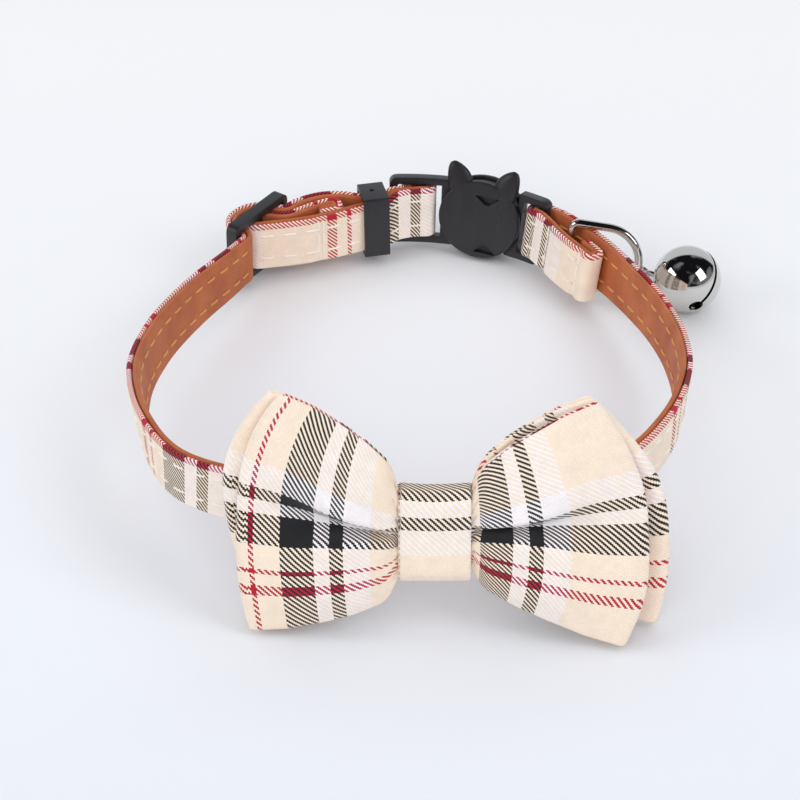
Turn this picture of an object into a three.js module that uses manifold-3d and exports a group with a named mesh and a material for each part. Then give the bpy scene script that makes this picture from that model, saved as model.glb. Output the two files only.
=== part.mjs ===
// A cat's collar with a double bow tie at the front. The strap has a leather lining inside and a
// cloth face outside. It weaves through a slide adjuster and a keeper to a breakaway buckle, and
// a D-ring beside the buckle carries a jingle bell on a split ring.
// Millimetres, +Z up, the buckle at +Y, the bow at -Y, the bell at +X.
import * as THREE from "three";
import { mergeVertices } from "three/addons/utils/BufferGeometryUtils.js";
import Module from "manifold-3d";

const wasm = await Module();
wasm.setup();

// ---- driving dimensions ----

const clearance = 0.15; // between pieces that touch
const collar = { middle: new THREE.Vector3(2, -2.5, 0) }; // the neck's axis, which the strap leans from

const strap = { width: 10, ply: 0.95, plyGap: 0.2 };
strap.thickness = 2 * strap.ply + strap.plyGap;
strap.layer = strap.thickness + clearance; // pitch of two strap layers that lie on each other

const buckle = {
  middle: new THREE.Vector3(16.3, 51.35, 7.5),
  bearing: 20, // of its middle, clockwise from +Y
  bend: 45, // radius that the whole buckle is bent to
  lean: 13,
  depth: 2.4,
  barDepth: 1.4,
  barWidth: 1.8,
  railHalf: 6.7,
  slotHalf: 5.3,
  barPlace: 12.7, // from the middle to the bar that the strap is folded round, on either side
  slotWidth: 3.4,
  socketEnd: 18.6,
  prongEnd: 13.7,
  root: 5.5, // inside the head, where both frames begin
  corner: 1.4,
  bevel: 0.35,
};
const head = {
  wide: 17.3,
  tall: 15.8,
  drop: 0.2,
  inner: 1.4,
  outer: 1.2,
  web: 3.9, // joins its two plates at the left
  tongue: 1.3,
  room: 0.3,
};

const adjuster = {
  middle: new THREE.Vector3(-27.7, 43.15, 7.5),
  turn: 54.6,
  length: 16.4,
  height: 13.6,
  depth: 2.4,
  endBar: 1.5,
  midBar: 1.8,
  midDepth: 1.2,
  slotHalf: 5.3,
  corner: 1.5,
  bevel: 0.45,
};
const keeper = {
  middle: new THREE.Vector3(-5.15, 49.55, 7.7),
  turn: 12,
  lean: 4,
  length: 5,
  depth: 7.4,
  height: 12.7,
  wall: 0.85,
  corner: 0.5,
  bevel: 0.2,
};

const bow = { knot: new THREE.Vector3(5.9, -60.9, 18.5), lean: 16, cloth: 1.1 };
const knot = { width: 12.4, height: 16.8, depth: 7.5, drop: 1.7, wall: 1, corner: 2.2 };

const ring = {
  foot: new THREE.Vector3(32.85, 37.4, 8.1), // the middle of its straight bar
  toward: -11.6,
  dip: 3,
  roll: 10,
  length: 13.4,
  tall: 12.8,
  corner: 1.4,
  wire: 1.7,
};
const bell = {
  middle: new THREE.Vector3(55.2, 31.4, 5.95),
  radius: 6.5,
  shell: 0.6,
  slit: 0.7,
  slitEnd: 82, // from the mouth's middle to the round hole at either end of the slit
  hole: 2.8,
  mouth: new THREE.Vector3(0.8, -0.19, 0.57).normalize(), // the middle of its slit
  slitNormal: new THREE.Vector3(-0.59, -0.42, 0.69),
};
const staple = {
  toward: new THREE.Vector3(-0.86, 0.4, -0.3).normalize(), // from the bell's middle
  reach: 7.8,
  radius: 1.6,
  wire: 1.0,
};
const jump = {
  middle: new THREE.Vector3(45.95, 35.3, 4.3),
  normal: new THREE.Vector3(0.35, -0.1, 0.93).normalize(),
  radius: 2.7,
  wire: 0.9,
};
const pellet = { radius: 1.8, gap: 0.15 };

// ---- solids from points ----

// A closed solid through sections of the same number of points each, capped unless it runs round.
function loft(sections, round = false) {
  const count = sections[0].length;
  const position = sections.flat().flatMap((p) => [p.x, p.y, p.z]);
  const index = [];
  const spans = round ? sections.length : sections.length - 1;
  for (let i = 0; i < spans; i += 1) {
    const next = (i + 1) % sections.length;
    for (let j = 0; j < count; j += 1) {
      const beside = (j + 1) % count;
      const [a, b, c, d] = [i * count + j, i * count + beside, next * count + beside, next * count + j];
      index.push(a, b, c, a, c, d);
    }
  }
  if (!round) {
    const last = (sections.length - 1) * count;
    for (let j = 1; j < count - 1; j += 1) {
      index.push(0, j + 1, j, last, last + j, last + j + 1);
    }
  }
  const made = new THREE.BufferGeometry();
  made.setAttribute("position", new THREE.Float32BufferAttribute(position, 3));
  made.setIndex(index);
  return facingOut(made);
}

// The volume's sign tells which way a closed surface faces, and one that faces in is turned round.
function facingOut(geometry) {
  const index = geometry.index.array;
  const at = (i) => new THREE.Vector3().fromBufferAttribute(geometry.getAttribute("position"), index[i]);
  let volume = 0;
  for (let i = 0; i < index.length; i += 3) {
    volume += at(i).dot(at(i + 1).cross(at(i + 2)));
  }
  if (volume < 0) {
    for (let i = 0; i < index.length; i += 3) {
      [index[i + 1], index[i + 2]] = [index[i + 2], index[i + 1]];
    }
  }
  return geometry;
}

// A wall of even thickness about a sheet of points that runs round in a closed loop.
function loopWall(sheet, thickness) {
  const rows = sheet.length;
  const last = sheet[0].length - 1;
  const sections = sheet.map((row, i) => {
    const before = sheet[(i + rows - 1) % rows];
    const after = sheet[(i + 1) % rows];
    const normals = row.map((_, j) => {
      const along = after[j].clone().sub(before[j]);
      const across = row[Math.min(j + 1, last)].clone().sub(row[Math.max(j - 1, 0)]);
      return along.cross(across).normalize().multiplyScalar(thickness / 2);
    });
    const outside = row.map((p, j) => p.clone().add(normals[j]));
    const inside = row.map((p, j) => p.clone().sub(normals[j]));
    return [...outside, ...inside.reverse()];
  });
  return loft(sections, true);
}

// A round wire along a closed line of points.
function wireLoop(points, wire, sides = 8) {
  const count = points.length;
  const middle = points.reduce((sum, p) => sum.add(p), new THREE.Vector3()).divideScalar(count);
  const normal = points[0].clone().sub(middle).cross(points[1].clone().sub(middle)).normalize();
  const sections = points.map((p, i) => {
    const along = points[(i + 1) % count].clone().sub(points[(i + count - 1) % count]).normalize();
    const out = along.clone().cross(normal).normalize();
    return Array.from({ length: sides }, (_, k) => {
      const angle = (2 * Math.PI * k) / sides;
      const across = out.clone().multiplyScalar((Math.cos(angle) * wire) / 2);
      return p.clone().add(across).addScaledVector(normal, (Math.sin(angle) * wire) / 2);
    });
  });
  return loft(sections, true);
}

// ---- joining and cutting ----

// A geometry or a solid, as a solid.
function solidOf(body) {
  if (!body.isBufferGeometry) {
    return body;
  }
  const bare = body.clone();
  bare.deleteAttribute("normal");
  bare.deleteAttribute("uv");
  const merged = mergeVertices(bare, 1e-4);
  const vertProperties = merged.getAttribute("position").array;
  const triVerts = new Uint32Array(merged.index.array);
  return new wasm.Manifold(new wasm.Mesh({ numProp: 3, vertProperties, triVerts }));
}

function geometryOf(solid) {
  const mesh = solid.getMesh();
  const made = new THREE.BufferGeometry();
  made.setAttribute("position", new THREE.BufferAttribute(new Float32Array(mesh.vertProperties), 3));
  made.setIndex(new THREE.BufferAttribute(new Uint32Array(mesh.triVerts), 1));
  return made;
}

const joined = (...pieces) => pieces.map(solidOf).reduce((a, b) => a.add(b));
const cut = (body, ...tools) => tools.map(solidOf).reduce((a, b) => a.subtract(b), solidOf(body));
const shared = (a, b) => solidOf(a).intersect(solidOf(b));

function box(x0, x1, y0, y1, z0, z1) {
  const made = new THREE.BoxGeometry(x1 - x0, y1 - y0, z1 - z0);
  return made.translate((x0 + x1) / 2, (y0 + y1) / 2, (z0 + z1) / 2);
}

// A flat outline drawn in x and z, given its depth along y.
function slab(shape, y0, y1, segments = 6, bevel = 0) {
  const settings = { depth: y1 - y0 - 2 * bevel, curveSegments: segments, bevelEnabled: bevel > 0 };
  Object.assign(settings, { bevelThickness: bevel, bevelSize: bevel, bevelOffset: -bevel, bevelSegments: 2 });
  const made = new THREE.ExtrudeGeometry(shape, settings);
  return made.translate(0, 0, bevel).rotateX(Math.PI / 2).translate(0, y1, 0);
}

function roundedRectangle(wide, tall, radius, shape = new THREE.Shape(), x = 0, z = 0) {
  const [w, t] = [wide / 2 - radius, tall / 2 - radius];
  shape.absarc(x + w, z + t, radius, 0, Math.PI / 2);
  shape.absarc(x - w, z + t, radius, Math.PI / 2, Math.PI);
  shape.absarc(x - w, z - t, radius, Math.PI, (3 * Math.PI) / 2);
  shape.absarc(x + w, z - t, radius, (3 * Math.PI) / 2, 2 * Math.PI);
  return shape;
}

function ellipse(wide, tall) {
  return new THREE.Shape().absellipse(0, 0, wide / 2, tall / 2, 0, 2 * Math.PI);
}

// ---- places ----

const radians = THREE.MathUtils.degToRad;
const up = new THREE.Vector3(0, 0, 1);

// The strap's width direction at a row of its route: upright, leaning away from the neck's axis.
function widthOf({ x, y, lean, width }) {
  if (width) {
    return width;
  }
  const away = new THREE.Vector3(x - collar.middle.x, y - collar.middle.y, 0).normalize();
  return away.multiplyScalar(Math.sin(radians(lean))).addScaledVector(up, Math.cos(radians(lean)));
}

// From the buckle's flat drawing, x along the strap, y outward and z up, to its bent and leaning place.
function bent({ x, y, z }) {
  const angle = radians(buckle.bearing) + x / buckle.bend;
  const out = new THREE.Vector3(Math.sin(angle), Math.cos(angle), 0);
  const start = radians(buckle.bearing);
  const axis = buckle.middle.clone();
  axis.x -= buckle.bend * Math.sin(start);
  axis.y -= buckle.bend * Math.cos(start);
  const away = buckle.bend + y * Math.cos(radians(buckle.lean)) + z * Math.sin(radians(buckle.lean));
  const height = z * Math.cos(radians(buckle.lean)) - y * Math.sin(radians(buckle.lean));
  return axis.addScaledVector(out, away).addScaledVector(up, height);
}

// A row of the strap's route beside the buckle, which leans with it.
function atBuckle(x, y) {
  const place = bent(new THREE.Vector3(x, y, 0));
  const width = bent(new THREE.Vector3(x, y, 1)).sub(place);
  return { x: place.x, y: place.y, z: place.z, width };
}

function bentGeometry(geometry) {
  const position = geometry.getAttribute("position");
  for (let i = 0; i < position.count; i += 1) {
    const place = bent(new THREE.Vector3().fromBufferAttribute(position, i));
    position.setXYZ(i, place.x, place.y, place.z);
  }
  return geometry;
}

function atAdjuster(along, out) {
  const turn = radians(adjuster.turn);
  const x = adjuster.middle.x + along * Math.cos(turn) - out * Math.sin(turn);
  const y = adjuster.middle.y + along * Math.sin(turn) + out * Math.cos(turn);
  return { x, y, z: adjuster.middle.z, lean: 0 };
}

// ---- the strap's route ----

const foldSquare = 0.65; // under one, a fold keeps clear of a bar's corners
// A fold of half a turn to the right, in shares of its two half widths: ahead and to the left.
const foldTurns = [90, 60, 30, 0, -30, -60, -90].map((turn) => {
  const [c, n] = [Math.cos(radians(turn)), Math.sin(radians(turn))];
  return { ahead: Math.abs(c) ** foldSquare, left: Math.sign(n) * Math.abs(n) ** foldSquare };
});

// The strap's middle line keeps this far from a bar's middle, along the strap and across it.
const barFold = { along: buckle.barWidth / 2 + clearance + strap.thickness / 2 };
barFold.out = buckle.barDepth / 2 + clearance + strap.thickness / 2;

function buckleFold(side) {
  return foldTurns.map(({ ahead, left }) => {
    const along = side * (buckle.barPlace - barFold.along * ahead);
    return atBuckle(along, -side * barFold.out * left);
  });
}

function hemFold({ x, y, z, lean, facing }) {
  const [c, n] = [Math.cos(radians(facing)), Math.sin(radians(facing))];
  const reach = strap.layer / 2;
  return foldTurns.map(({ ahead, left }) => {
    return { x: x + reach * (ahead * c - left * n), y: y + reach * (ahead * n + left * c), z, lean };
  });
}

const insideEndBar = -(adjuster.depth / 2 + clearance + strap.thickness / 2);

// Every fold turns the same way, so the cloth stays on the route's left and the lining on its right.
const route = [
  { x: 34.9, y: 34.2, z: 7.8, lean: 13 }, // the tail's turned-in end, beside the D-ring's bar
  ...hemFold({ x: 35.9, y: 30.4, z: 7.9, lean: 12, facing: -60 }),
  { x: 30.9, y: 36.1, z: 7.7, lean: 13 },
  ...buckleFold(1),
  atBuckle(14.3, 1.9),
  { x: 31.2, y: 43.7, z: 7.8, lean: 13 }, // once round the neck, by the right
  { x: 35.0, y: 38.5, z: 8.3, lean: 12 },
  { x: 38.85, y: 32.8, z: 8.5, lean: 11 },
  { x: 43.9, y: 21.9, z: 9.7, lean: 8 },
  { x: 48.3, y: 10.4, z: 10.7, lean: 8 },
  { x: 50.9, y: -1.6, z: 11.8, lean: 9 },
  { x: 51.2, y: -14.0, z: 13.0, lean: 8 },
  { x: 47.2, y: -30.0, z: 14.4, lean: 2 },
  { x: 38.0, y: -44.8, z: 15.4, lean: -5 },
  { x: 22.5, y: -53.2, z: 16.2, lean: -11 },
  { x: 6.0, y: -55.6, z: 16.5, lean: -14 }, // behind the bow's knot
  { x: -10.5, y: -54.6, z: 16.5, lean: -13 },
  { x: -26.5, y: -50.6, z: 16.2, lean: -8 },
  { x: -38.5, y: -43.0, z: 15.3, lean: -1 },
  { x: -45.2, y: -29.0, z: 14.2, lean: 6 },
  { x: -47.5, y: -13.0, z: 12.9, lean: 12 },
  { x: -45.0, y: 2.0, z: 11.5, lean: 11 },
  { x: -39.2, y: 17.0, z: 10.0, lean: 8 },
  { x: -32.6, y: 29.4, z: 8.7, lean: 2 },
  atAdjuster(-8.4, insideEndBar - 0.15), // in under one end bar, out over the middle bar
  atAdjuster(-6.5, insideEndBar),
  atAdjuster(-5.2, -0.9),
  atAdjuster(-5.1, 0.8),
  atAdjuster(-4.5, 2.6),
  atAdjuster(-2.9, 3.95),
  atAdjuster(-0.5, 4.4),
  atAdjuster(2.0, 3.8),
  atAdjuster(4.0, 2.3),
  atAdjuster(4.95, 0.6),
  atAdjuster(5.2, -0.9),
  atAdjuster(6.6, insideEndBar - 0.15),
  atAdjuster(8.6, insideEndBar - 0.3), // and in again under the other
  { x: -15.8, y: 51.2, z: 7.5, lean: 1 },
  { x: -11.2, y: 51.5, z: 7.5, lean: 2 },
  { x: -7.8, y: 50.65, z: 7.5, lean: 4 }, // the keeper's outer layer
  { x: -2.8, y: 51.6, z: 7.6, lean: 7 },
  atBuckle(-17.8, -barFold.out - 0.05), // under the buckle's end bar, out over its next bar
  atBuckle(-16.3, -1.75),
  atBuckle(-15.35, -0.5),
  atBuckle(-15.1, 0.6),
  atBuckle(-14.3, 1.75),
  ...buckleFold(-1),
  atBuckle(-17.8, -barFold.out - strap.layer - 0.15),
  { x: -2.6, y: 48.9, z: 7.7, lean: 7 },
  { x: -7.3, y: 47.3, z: 7.5, lean: 3 }, // the keeper's inner layer
  { x: -13.8, y: 44.2, z: 7.5, lean: 1 },
  { x: -17.2, y: 42.95, z: 7.5, lean: 0 },
  atAdjuster(3.9, -7.0), // round the middle bar
  atAdjuster(1.4, -4.75),
  atAdjuster(-0.6, -2.8),
  atAdjuster(-1.9, -1.5),
  atAdjuster(-2.3, 0),
  atAdjuster(-1.6, 1.5),
  atAdjuster(0, 2.0),
  atAdjuster(1.6, 1.5),
  atAdjuster(2.3, 0.1),
  atAdjuster(3.0, -1.5),
  atAdjuster(4.0, -3.4),
  { x: -20.9, y: 44.95, z: 7.5, lean: 0 },
  { x: -17.5, y: 47.3, z: 7.5, lean: 0 },
  ...hemFold({ x: -13.4, y: 48.1, z: 7.5, lean: 1, facing: 18 }),
  { x: -15.6, y: 46.2, z: 7.5, lean: 1 }, // the strap's other turned-in end
];

// A span takes one step for each small turn of the route, and for each few millimetres.
function stations(rows) {
  const places = rows.map(({ x, y, z }) => new THREE.Vector3(x, y, z));
  const curve = new THREE.CatmullRomCurve3(places, false, "centripetal");
  const spans = rows.length - 1;
  const stepTurn = radians(21);
  const stepLength = 6;
  const made = [];
  for (let i = 0; i < spans; i += 1) {
    const [t0, t1] = [i / spans, (i + 1) / spans];
    const turn = curve.getTangent(t0).angleTo(curve.getTangent(t1));
    const length = curve.getPoint(t0).distanceTo(curve.getPoint(t1));
    const steps = Math.max(1, Math.ceil(turn / stepTurn), Math.ceil(length / stepLength));
    const from = i === 0 ? 0 : 1;
    for (let k = from; k <= steps; k += 1) {
      const t = t0 + ((t1 - t0) * k) / steps;
      const place = curve.getPoint(t);
      const width = widthOf(rows[i]).clone().lerp(widthOf(rows[i + 1]), k / steps).normalize();
      const left = width.clone().cross(curve.getTangent(t)).normalize();
      made.push({ place, width, left });
    }
  }
  return made;
}

const strapStations = stations(route);

// One ply of the strap, between two distances to the left of the route.
function ply(from, to) {
  const half = strap.width / 2;
  const corners = [[-half, from], [half, from], [half, to], [-half, to]];
  const at = ({ place, width, left }, across, out) =>
    place.clone().addScaledVector(width, across).addScaledVector(left, out);
  return loft(strapStations.map((station) => corners.map(([across, out]) => at(station, across, out))));
}

const strapFace = ply(strap.plyGap / 2, strap.thickness / 2);
const strapLining = ply(-strap.thickness / 2, -strap.plyGap / 2);

// ---- the bow ----

// Each bow is a loop of cloth pressed flat and pinched by the knot, open above and below. Rows run
// from the knot's middle to a lobe's tip: reach is the share of the way, half the half height, open
// and rear how far the front panel and the others stand off, and crease how far the front one folds in.
const lobeRows = [
  { reach: 0, half: 6.8, open: 0.66, rear: 0.66, crease: 0 },
  { reach: 0.18, half: 6.8, open: 0.66, rear: 0.66, crease: 0 },
  { reach: 0.2, half: 9.2, open: 1.0, rear: 0.7, crease: 0.4 },
  { reach: 0.26, half: 12.6, open: 2.5, rear: 0.9, crease: 2.0 },
  { reach: 0.43, half: 15.6, open: 3.3, rear: 1.3, crease: 3.1 },
  { reach: 0.6, half: 17.7, open: 3.0, rear: 1.5, crease: 2.9 },
  { reach: 0.8, half: 19.8, open: 2.2, rear: 1.5, crease: 1.7 },
  { reach: 1, half: 21, open: 1.3, rear: 1.2, crease: 0.6 },
];
const shutHem = 0.8; // half the distance between the two panels at a lobe's top and bottom hems
// Where the lobes' tips lie, from their bottom corners to their top corners.
const frontTips = [
  { rise: -1, left: 30.8, right: 31.7 },
  { rise: -0.6, left: 31.9, right: 34.5 },
  { rise: -0.2, left: 32.4, right: 35.0 },
  { rise: 0.2, left: 32.1, right: 34.6 },
  { rise: 0.5, left: 30.7, right: 32.3 },
  { rise: 0.8, left: 28.4, right: 29.5 },
  { rise: 1, left: 25.3, right: 26.8 },
];
const backTips = [
  { rise: -1, left: 30.2, right: 37.4 },
  { rise: -0.6, left: 31.6, right: 38.5 },
  { rise: -0.2, left: 33.7, right: 38.5 },
  { rise: 0.2, left: 34.7, right: 37.4 },
  { rise: 0.5, left: 33.7, right: 34.4 },
  { rise: 0.8, left: 30.6, right: 29.4 },
  { rise: 1, left: 27.2, right: 25.6 },
];
const bows = {
  front: {
    tips: frontTips, stand: -1.3, bulge: -0.9, tall: 1.02,
    left: { lift: 4.0, early: 0.7, slim: 0, forward: 0.1, twist: 0, creaseRise: 0.03 },
    right: { lift: 2.7, early: 0.25, slim: 0.15, forward: 2.4, twist: 1.5, creaseRise: 0.02 },
  },
  back: {
    tips: backTips, stand: 1.3, bulge: 1.2, tall: 0.98,
    left: { lift: 4.1, early: 0.7, slim: 0.1, forward: -1.4, twist: -0.6, creaseRise: 0.03 },
    right: { lift: 3.5, early: 0.3, slim: 0.15, forward: 0.4, twist: 0, creaseRise: 0.02 },
  },
};

// A row's values between two rows of a table, by the value of one of its columns.
function between(rows, column, value) {
  const i = Math.max(1, rows.findIndex((row) => row[column] >= value - 1e-9));
  const [a, b] = [rows[i - 1], rows[i]];
  const share = THREE.MathUtils.clamp((value - a[column]) / (b[column] - a[column]), 0, 1);
  return Object.fromEntries(Object.keys(a).map((key) => [key, THREE.MathUtils.lerp(a[key], b[key], share)]));
}

// A point of a bow's panel. side is -1 for the left lobe and 1 for the right, face -1 for the front
// panel and 1 for the rear, rise runs from -1 at the bottom to 1 at the top.
function panelPoint(spec, side, row, rise, face) {
  const lobe = side < 0 ? spec.left : spec.right;
  const tips = between(spec.tips, "rise", rise);
  const tip = side < 0 ? tips.left : tips.right;
  const waist = knot.width / 2 + clearance;
  const narrow = lobeRows[1].reach;
  const beyond = Math.max(0, (row.reach - narrow) / (1 - narrow));
  const x = side * (row.reach <= narrow ? (waist * row.reach) / narrow : waist + (tip - waist) * beyond);
  const spread = 0.15 + 0.15 * row.reach;
  const valley = Math.exp(-(((rise - lobe.creaseRise * row.reach) / spread) ** 2));
  const stand = spec === bows.front && face < 0 ? row.open - row.crease * valley : row.rear;
  const gap = THREE.MathUtils.lerp(stand, Math.min(row.rear, shutHem), rise ** 4);
  const swell = spec.bulge * Math.sin(Math.PI * beyond ** 0.7);
  const y = spec.stand + swell - beyond * (lobe.forward - lobe.twist * rise) + face * gap;
  const half = row.half * spec.tall * (beyond > 0 ? 1 - lobe.slim * (1 - beyond) : 1);
  const z = lobe.lift * beyond ** lobe.early - knot.drop + rise * half;
  return new THREE.Vector3(x, y, z);
}

// The tip is a half round turn from the front panel to the rear panel, between its two ends.
function tipTurn(front, rear, side) {
  return [-60, 0, 60].map((turn) => {
    const radius = front.distanceTo(rear) / 2;
    const middle = front.clone().lerp(rear, 0.5 + Math.sin(radians(turn)) / 2);
    return middle.add(new THREE.Vector3(side * radius * Math.cos(radians(turn)), 0, 0));
  });
}

function bowGeometry(spec) {
  const rises = [-1, -0.85, -0.55, -0.2, 0, 0.2, 0.5, 0.75, 0.9, 1];
  const reaches = [0, 0.18, 0.2, 0.24, 0.31, 0.42, 0.54, 0.67, 0.8, 0.92, 1];
  const rows = reaches.map((reach) => between(lobeRows, "reach", reach));
  const line = (side, face, row) => rises.map((rise) => panelPoint(spec, side, row, rise, face));
  const panel = (side, face, list) => list.map((row) => line(side, face, row));
  const outward = rows.slice(1);
  const inward = [...outward].reverse();
  const tip = rows[rows.length - 1];
  const turn = (side, face) => {
    const ends = rises.map((rise) => {
      const here = panelPoint(spec, side, tip, rise, face);
      return tipTurn(here, panelPoint(spec, side, tip, rise, -face), side);
    });
    return [0, 1, 2].map((k) => ends.map((end) => end[k]));
  };
  const sheet = [
    ...panel(-1, -1, inward), ...panel(1, -1, rows), ...turn(1, -1),
    ...panel(1, 1, inward), ...panel(-1, 1, rows), ...turn(-1, 1),
  ];
  return loopWall(sheet, bow.cloth);
}

function knotGeometry() {
  const outline = roundedRectangle(knot.depth, knot.height, knot.corner);
  const hollow = roundedRectangle(
    knot.depth - 2 * knot.wall, knot.height - 2 * knot.wall, knot.corner - knot.wall, new THREE.Path(),
  );
  outline.holes.push(hollow);
  return slab(outline, -knot.width / 2, knot.width / 2, 5).rotateZ(Math.PI / 2).translate(0, 0, -knot.drop);
}

// ---- the breakaway buckle, drawn flat ----

function buckleFrame(side, end) {
  const { railHalf, slotHalf, depth, slotWidth, barPlace, barWidth, root, corner, bevel } = buckle;
  const middle = (root + end) / 2;
  const outline = roundedRectangle(end - root, 2 * railHalf, corner, new THREE.Shape(), middle);
  const frame = slab(outline, -depth / 2, depth / 2, 3, bevel);
  const slot0 = barPlace - barWidth / 2 - slotWidth;
  const slots = [box(slot0, slot0 + slotWidth, -depth, depth, -slotHalf, slotHalf)];
  if (end > barPlace + slotWidth) {
    const next = barPlace + barWidth / 2;
    slots.push(box(next, next + slotWidth, -depth, depth, -slotHalf, slotHalf));
  }
  const thin = buckle.barDepth / 2;
  const reliefs = [
    box(slot0 + clearance, 2 * end, thin, depth, -slotHalf, slotHalf),
    box(slot0 + clearance, 2 * end, -depth, -thin, -slotHalf, slotHalf),
  ];
  return cut(frame, ...slots, ...reliefs).rotate([0, 0, side < 0 ? 180 : 0]);
}

// A cat's ear is a leaf that leans out to its tip. Rise and out are from the head's middle.
const earRows = [
  { rise: 4.4, out: 4.7, wide: 3.9, deep: 2.8 },
  { rise: 5.6, out: 4.65, wide: 4.7, deep: 2.9 },
  { rise: 7.0, out: 4.7, wide: 5.1, deep: 2.8 },
  { rise: 8.3, out: 4.95, wide: 4.7, deep: 2.4 },
  { rise: 9.4, out: 5.3, wide: 3.7, deep: 1.9 },
  { rise: 10.2, out: 5.7, wide: 2.4, deep: 1.3 },
  { rise: 10.7, out: 5.95, wide: 1.0, deep: 0.7 },
];
const earSides = 10;
const earPlace = -1.3; // its middle's depth, at the head's inner plate

function ear(side) {
  const sections = earRows.map(({ rise, out, wide, deep }) =>
    Array.from({ length: earSides }, (_, k) => {
      const angle = (2 * Math.PI * k) / earSides;
      const x = side * out + (wide / 2) * Math.cos(angle);
      return new THREE.Vector3(x, earPlace + (deep / 2) * Math.sin(angle), rise);
    }));
  return loft(sections);
}

// The head's round plates and rooms, a little below the frames' middle.
function plate(grow, y0, y1, bevel = 0) {
  return slab(ellipse(head.wide + grow, head.tall + grow), y0, y1, 13, bevel).translate(0, 0, -head.drop);
}

// Two shallow trapezium notches in the head's inner plate, one of them turned over.
const notch = { wide: 5.2, narrow: 1.0, tall: 1.7, floor: 0.5 };
const notchPlaces = [
  { along: 1.35, rise: 4.0, turn: 0 },
  { along: 1.8, rise: -6.0, turn: Math.PI },
];

function notchTool({ along, rise, turn }) {
  const [wide, narrow, tall] = [notch.wide / 2, notch.narrow / 2, notch.tall / 2];
  const corners = [[-wide, tall], [wide, tall], [narrow, -tall], [-narrow, -tall]];
  const shape = new THREE.Shape(corners.map(([x, z]) => new THREE.Vector2(x, z)));
  const inner = -buckle.depth / 2 - notch.floor;
  return slab(shape, inner - 2 * head.inner, inner).rotateY(turn).translate(along, 0, rise);
}

const past = 20; // beyond the buckle on any side
const headLeft = -head.wide / 2;

function socketSolid() {
  const half = buckle.depth / 2;
  const inner = plate(0, -half - head.inner, -half, head.room);
  const outer = plate(0, half, half + head.outer, head.room);
  const webPlate = plate(-2 * head.room, -half - head.inner / 2, half + head.outer / 2);
  const web = shared(webPlate, box(headLeft, headLeft + head.web, -past, past, -past, past));
  const ears = cut(joined(ear(-1), ear(1)), plate(2 * head.room, -half, half));
  const body = joined(buckleFrame(-1, buckle.socketEnd), inner, outer, web, ears);
  return cut(body, ...notchPlaces.map(notchTool));
}

// The prong's frame is cut back under the ear, and its tongue fills the room between the plates.
const earRoom = { along: 7.6, rise: 4 };

function prongSolid() {
  const half = buckle.depth / 2 - head.room;
  const left = headLeft + head.web + head.room;
  const tongueHalf = head.tongue / 2;
  const tongue = shared(plate(-1, -tongueHalf, tongueHalf), box(left, past, -past, past, -past, past));
  const frame = cut(buckleFrame(1, buckle.prongEnd), box(0, earRoom.along, -past, past, earRoom.rise, past));
  const outside = cut(frame, plate(2 * head.room, -past, past));
  return joined(outside, shared(frame, plate(1, -half, half)), tongue);
}

// ---- the other fittings ----

function adjusterSolid() {
  const { length, height, depth, endBar, midBar, midDepth, slotHalf, corner, bevel } = adjuster;
  const body = slab(roundedRectangle(length, height, corner), -depth / 2, depth / 2, 3, bevel);
  const from = midBar / 2;
  const to = length / 2 - endBar;
  const slots = [
    box(from, to, -depth, depth, -slotHalf, slotHalf),
    box(-to, -from, -depth, depth, -slotHalf, slotHalf),
  ];
  const half = from + clearance;
  const thin = midDepth / 2;
  const reliefs = [
    box(-half, half, thin, depth, -slotHalf, slotHalf),
    box(-half, half, -depth, -thin, -slotHalf, slotHalf),
  ];
  return cut(body, ...slots, ...reliefs);
}

function keeperGeometry() {
  const { length, depth, height, wall, corner, bevel } = keeper;
  const outline = roundedRectangle(depth, height, corner);
  outline.holes.push(roundedRectangle(depth - 2 * wall, height - 2 * wall, bevel, new THREE.Path()));
  return slab(outline, -length / 2, length / 2, 2, bevel).rotateZ(Math.PI / 2);
}

// The bar stands upright in the strap, and the bow of the D reaches out to the bell.
function ringPoints() {
  const { foot, toward, dip, roll, length, tall, corner } = ring;
  const round = tall / 2;
  const turn = new THREE.Euler(-radians(roll), radians(dip), radians(toward), "ZYX");
  const at = (along, rise) => new THREE.Vector3(along, 0, rise).applyEuler(turn).add(foot);
  const arc = Array.from({ length: 13 }, (_, k) => {
    const angle = Math.PI / 2 - (k * Math.PI) / 12;
    return at(length - round + round * Math.cos(angle), round * Math.sin(angle));
  });
  const bend = (turns, side) => turns.map((turn) => {
    const angle = radians(turn);
    return at(corner - corner * Math.cos(angle), side * (round - corner + corner * Math.sin(angle)));
  });
  return [...bend([20, 55, 90], 1), ...arc, ...bend([90, 55, 20], -1)];
}

function circlePoints(middle, normal, radius, count) {
  const first = new THREE.Vector3(0.3, 0.5, 1).cross(normal).normalize();
  const second = normal.clone().cross(first);
  return Array.from({ length: count }, (_, k) => {
    const angle = (2 * Math.PI * k) / count;
    const place = middle.clone().addScaledVector(first, radius * Math.cos(angle));
    return place.addScaledVector(second, radius * Math.sin(angle));
  });
}

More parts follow.
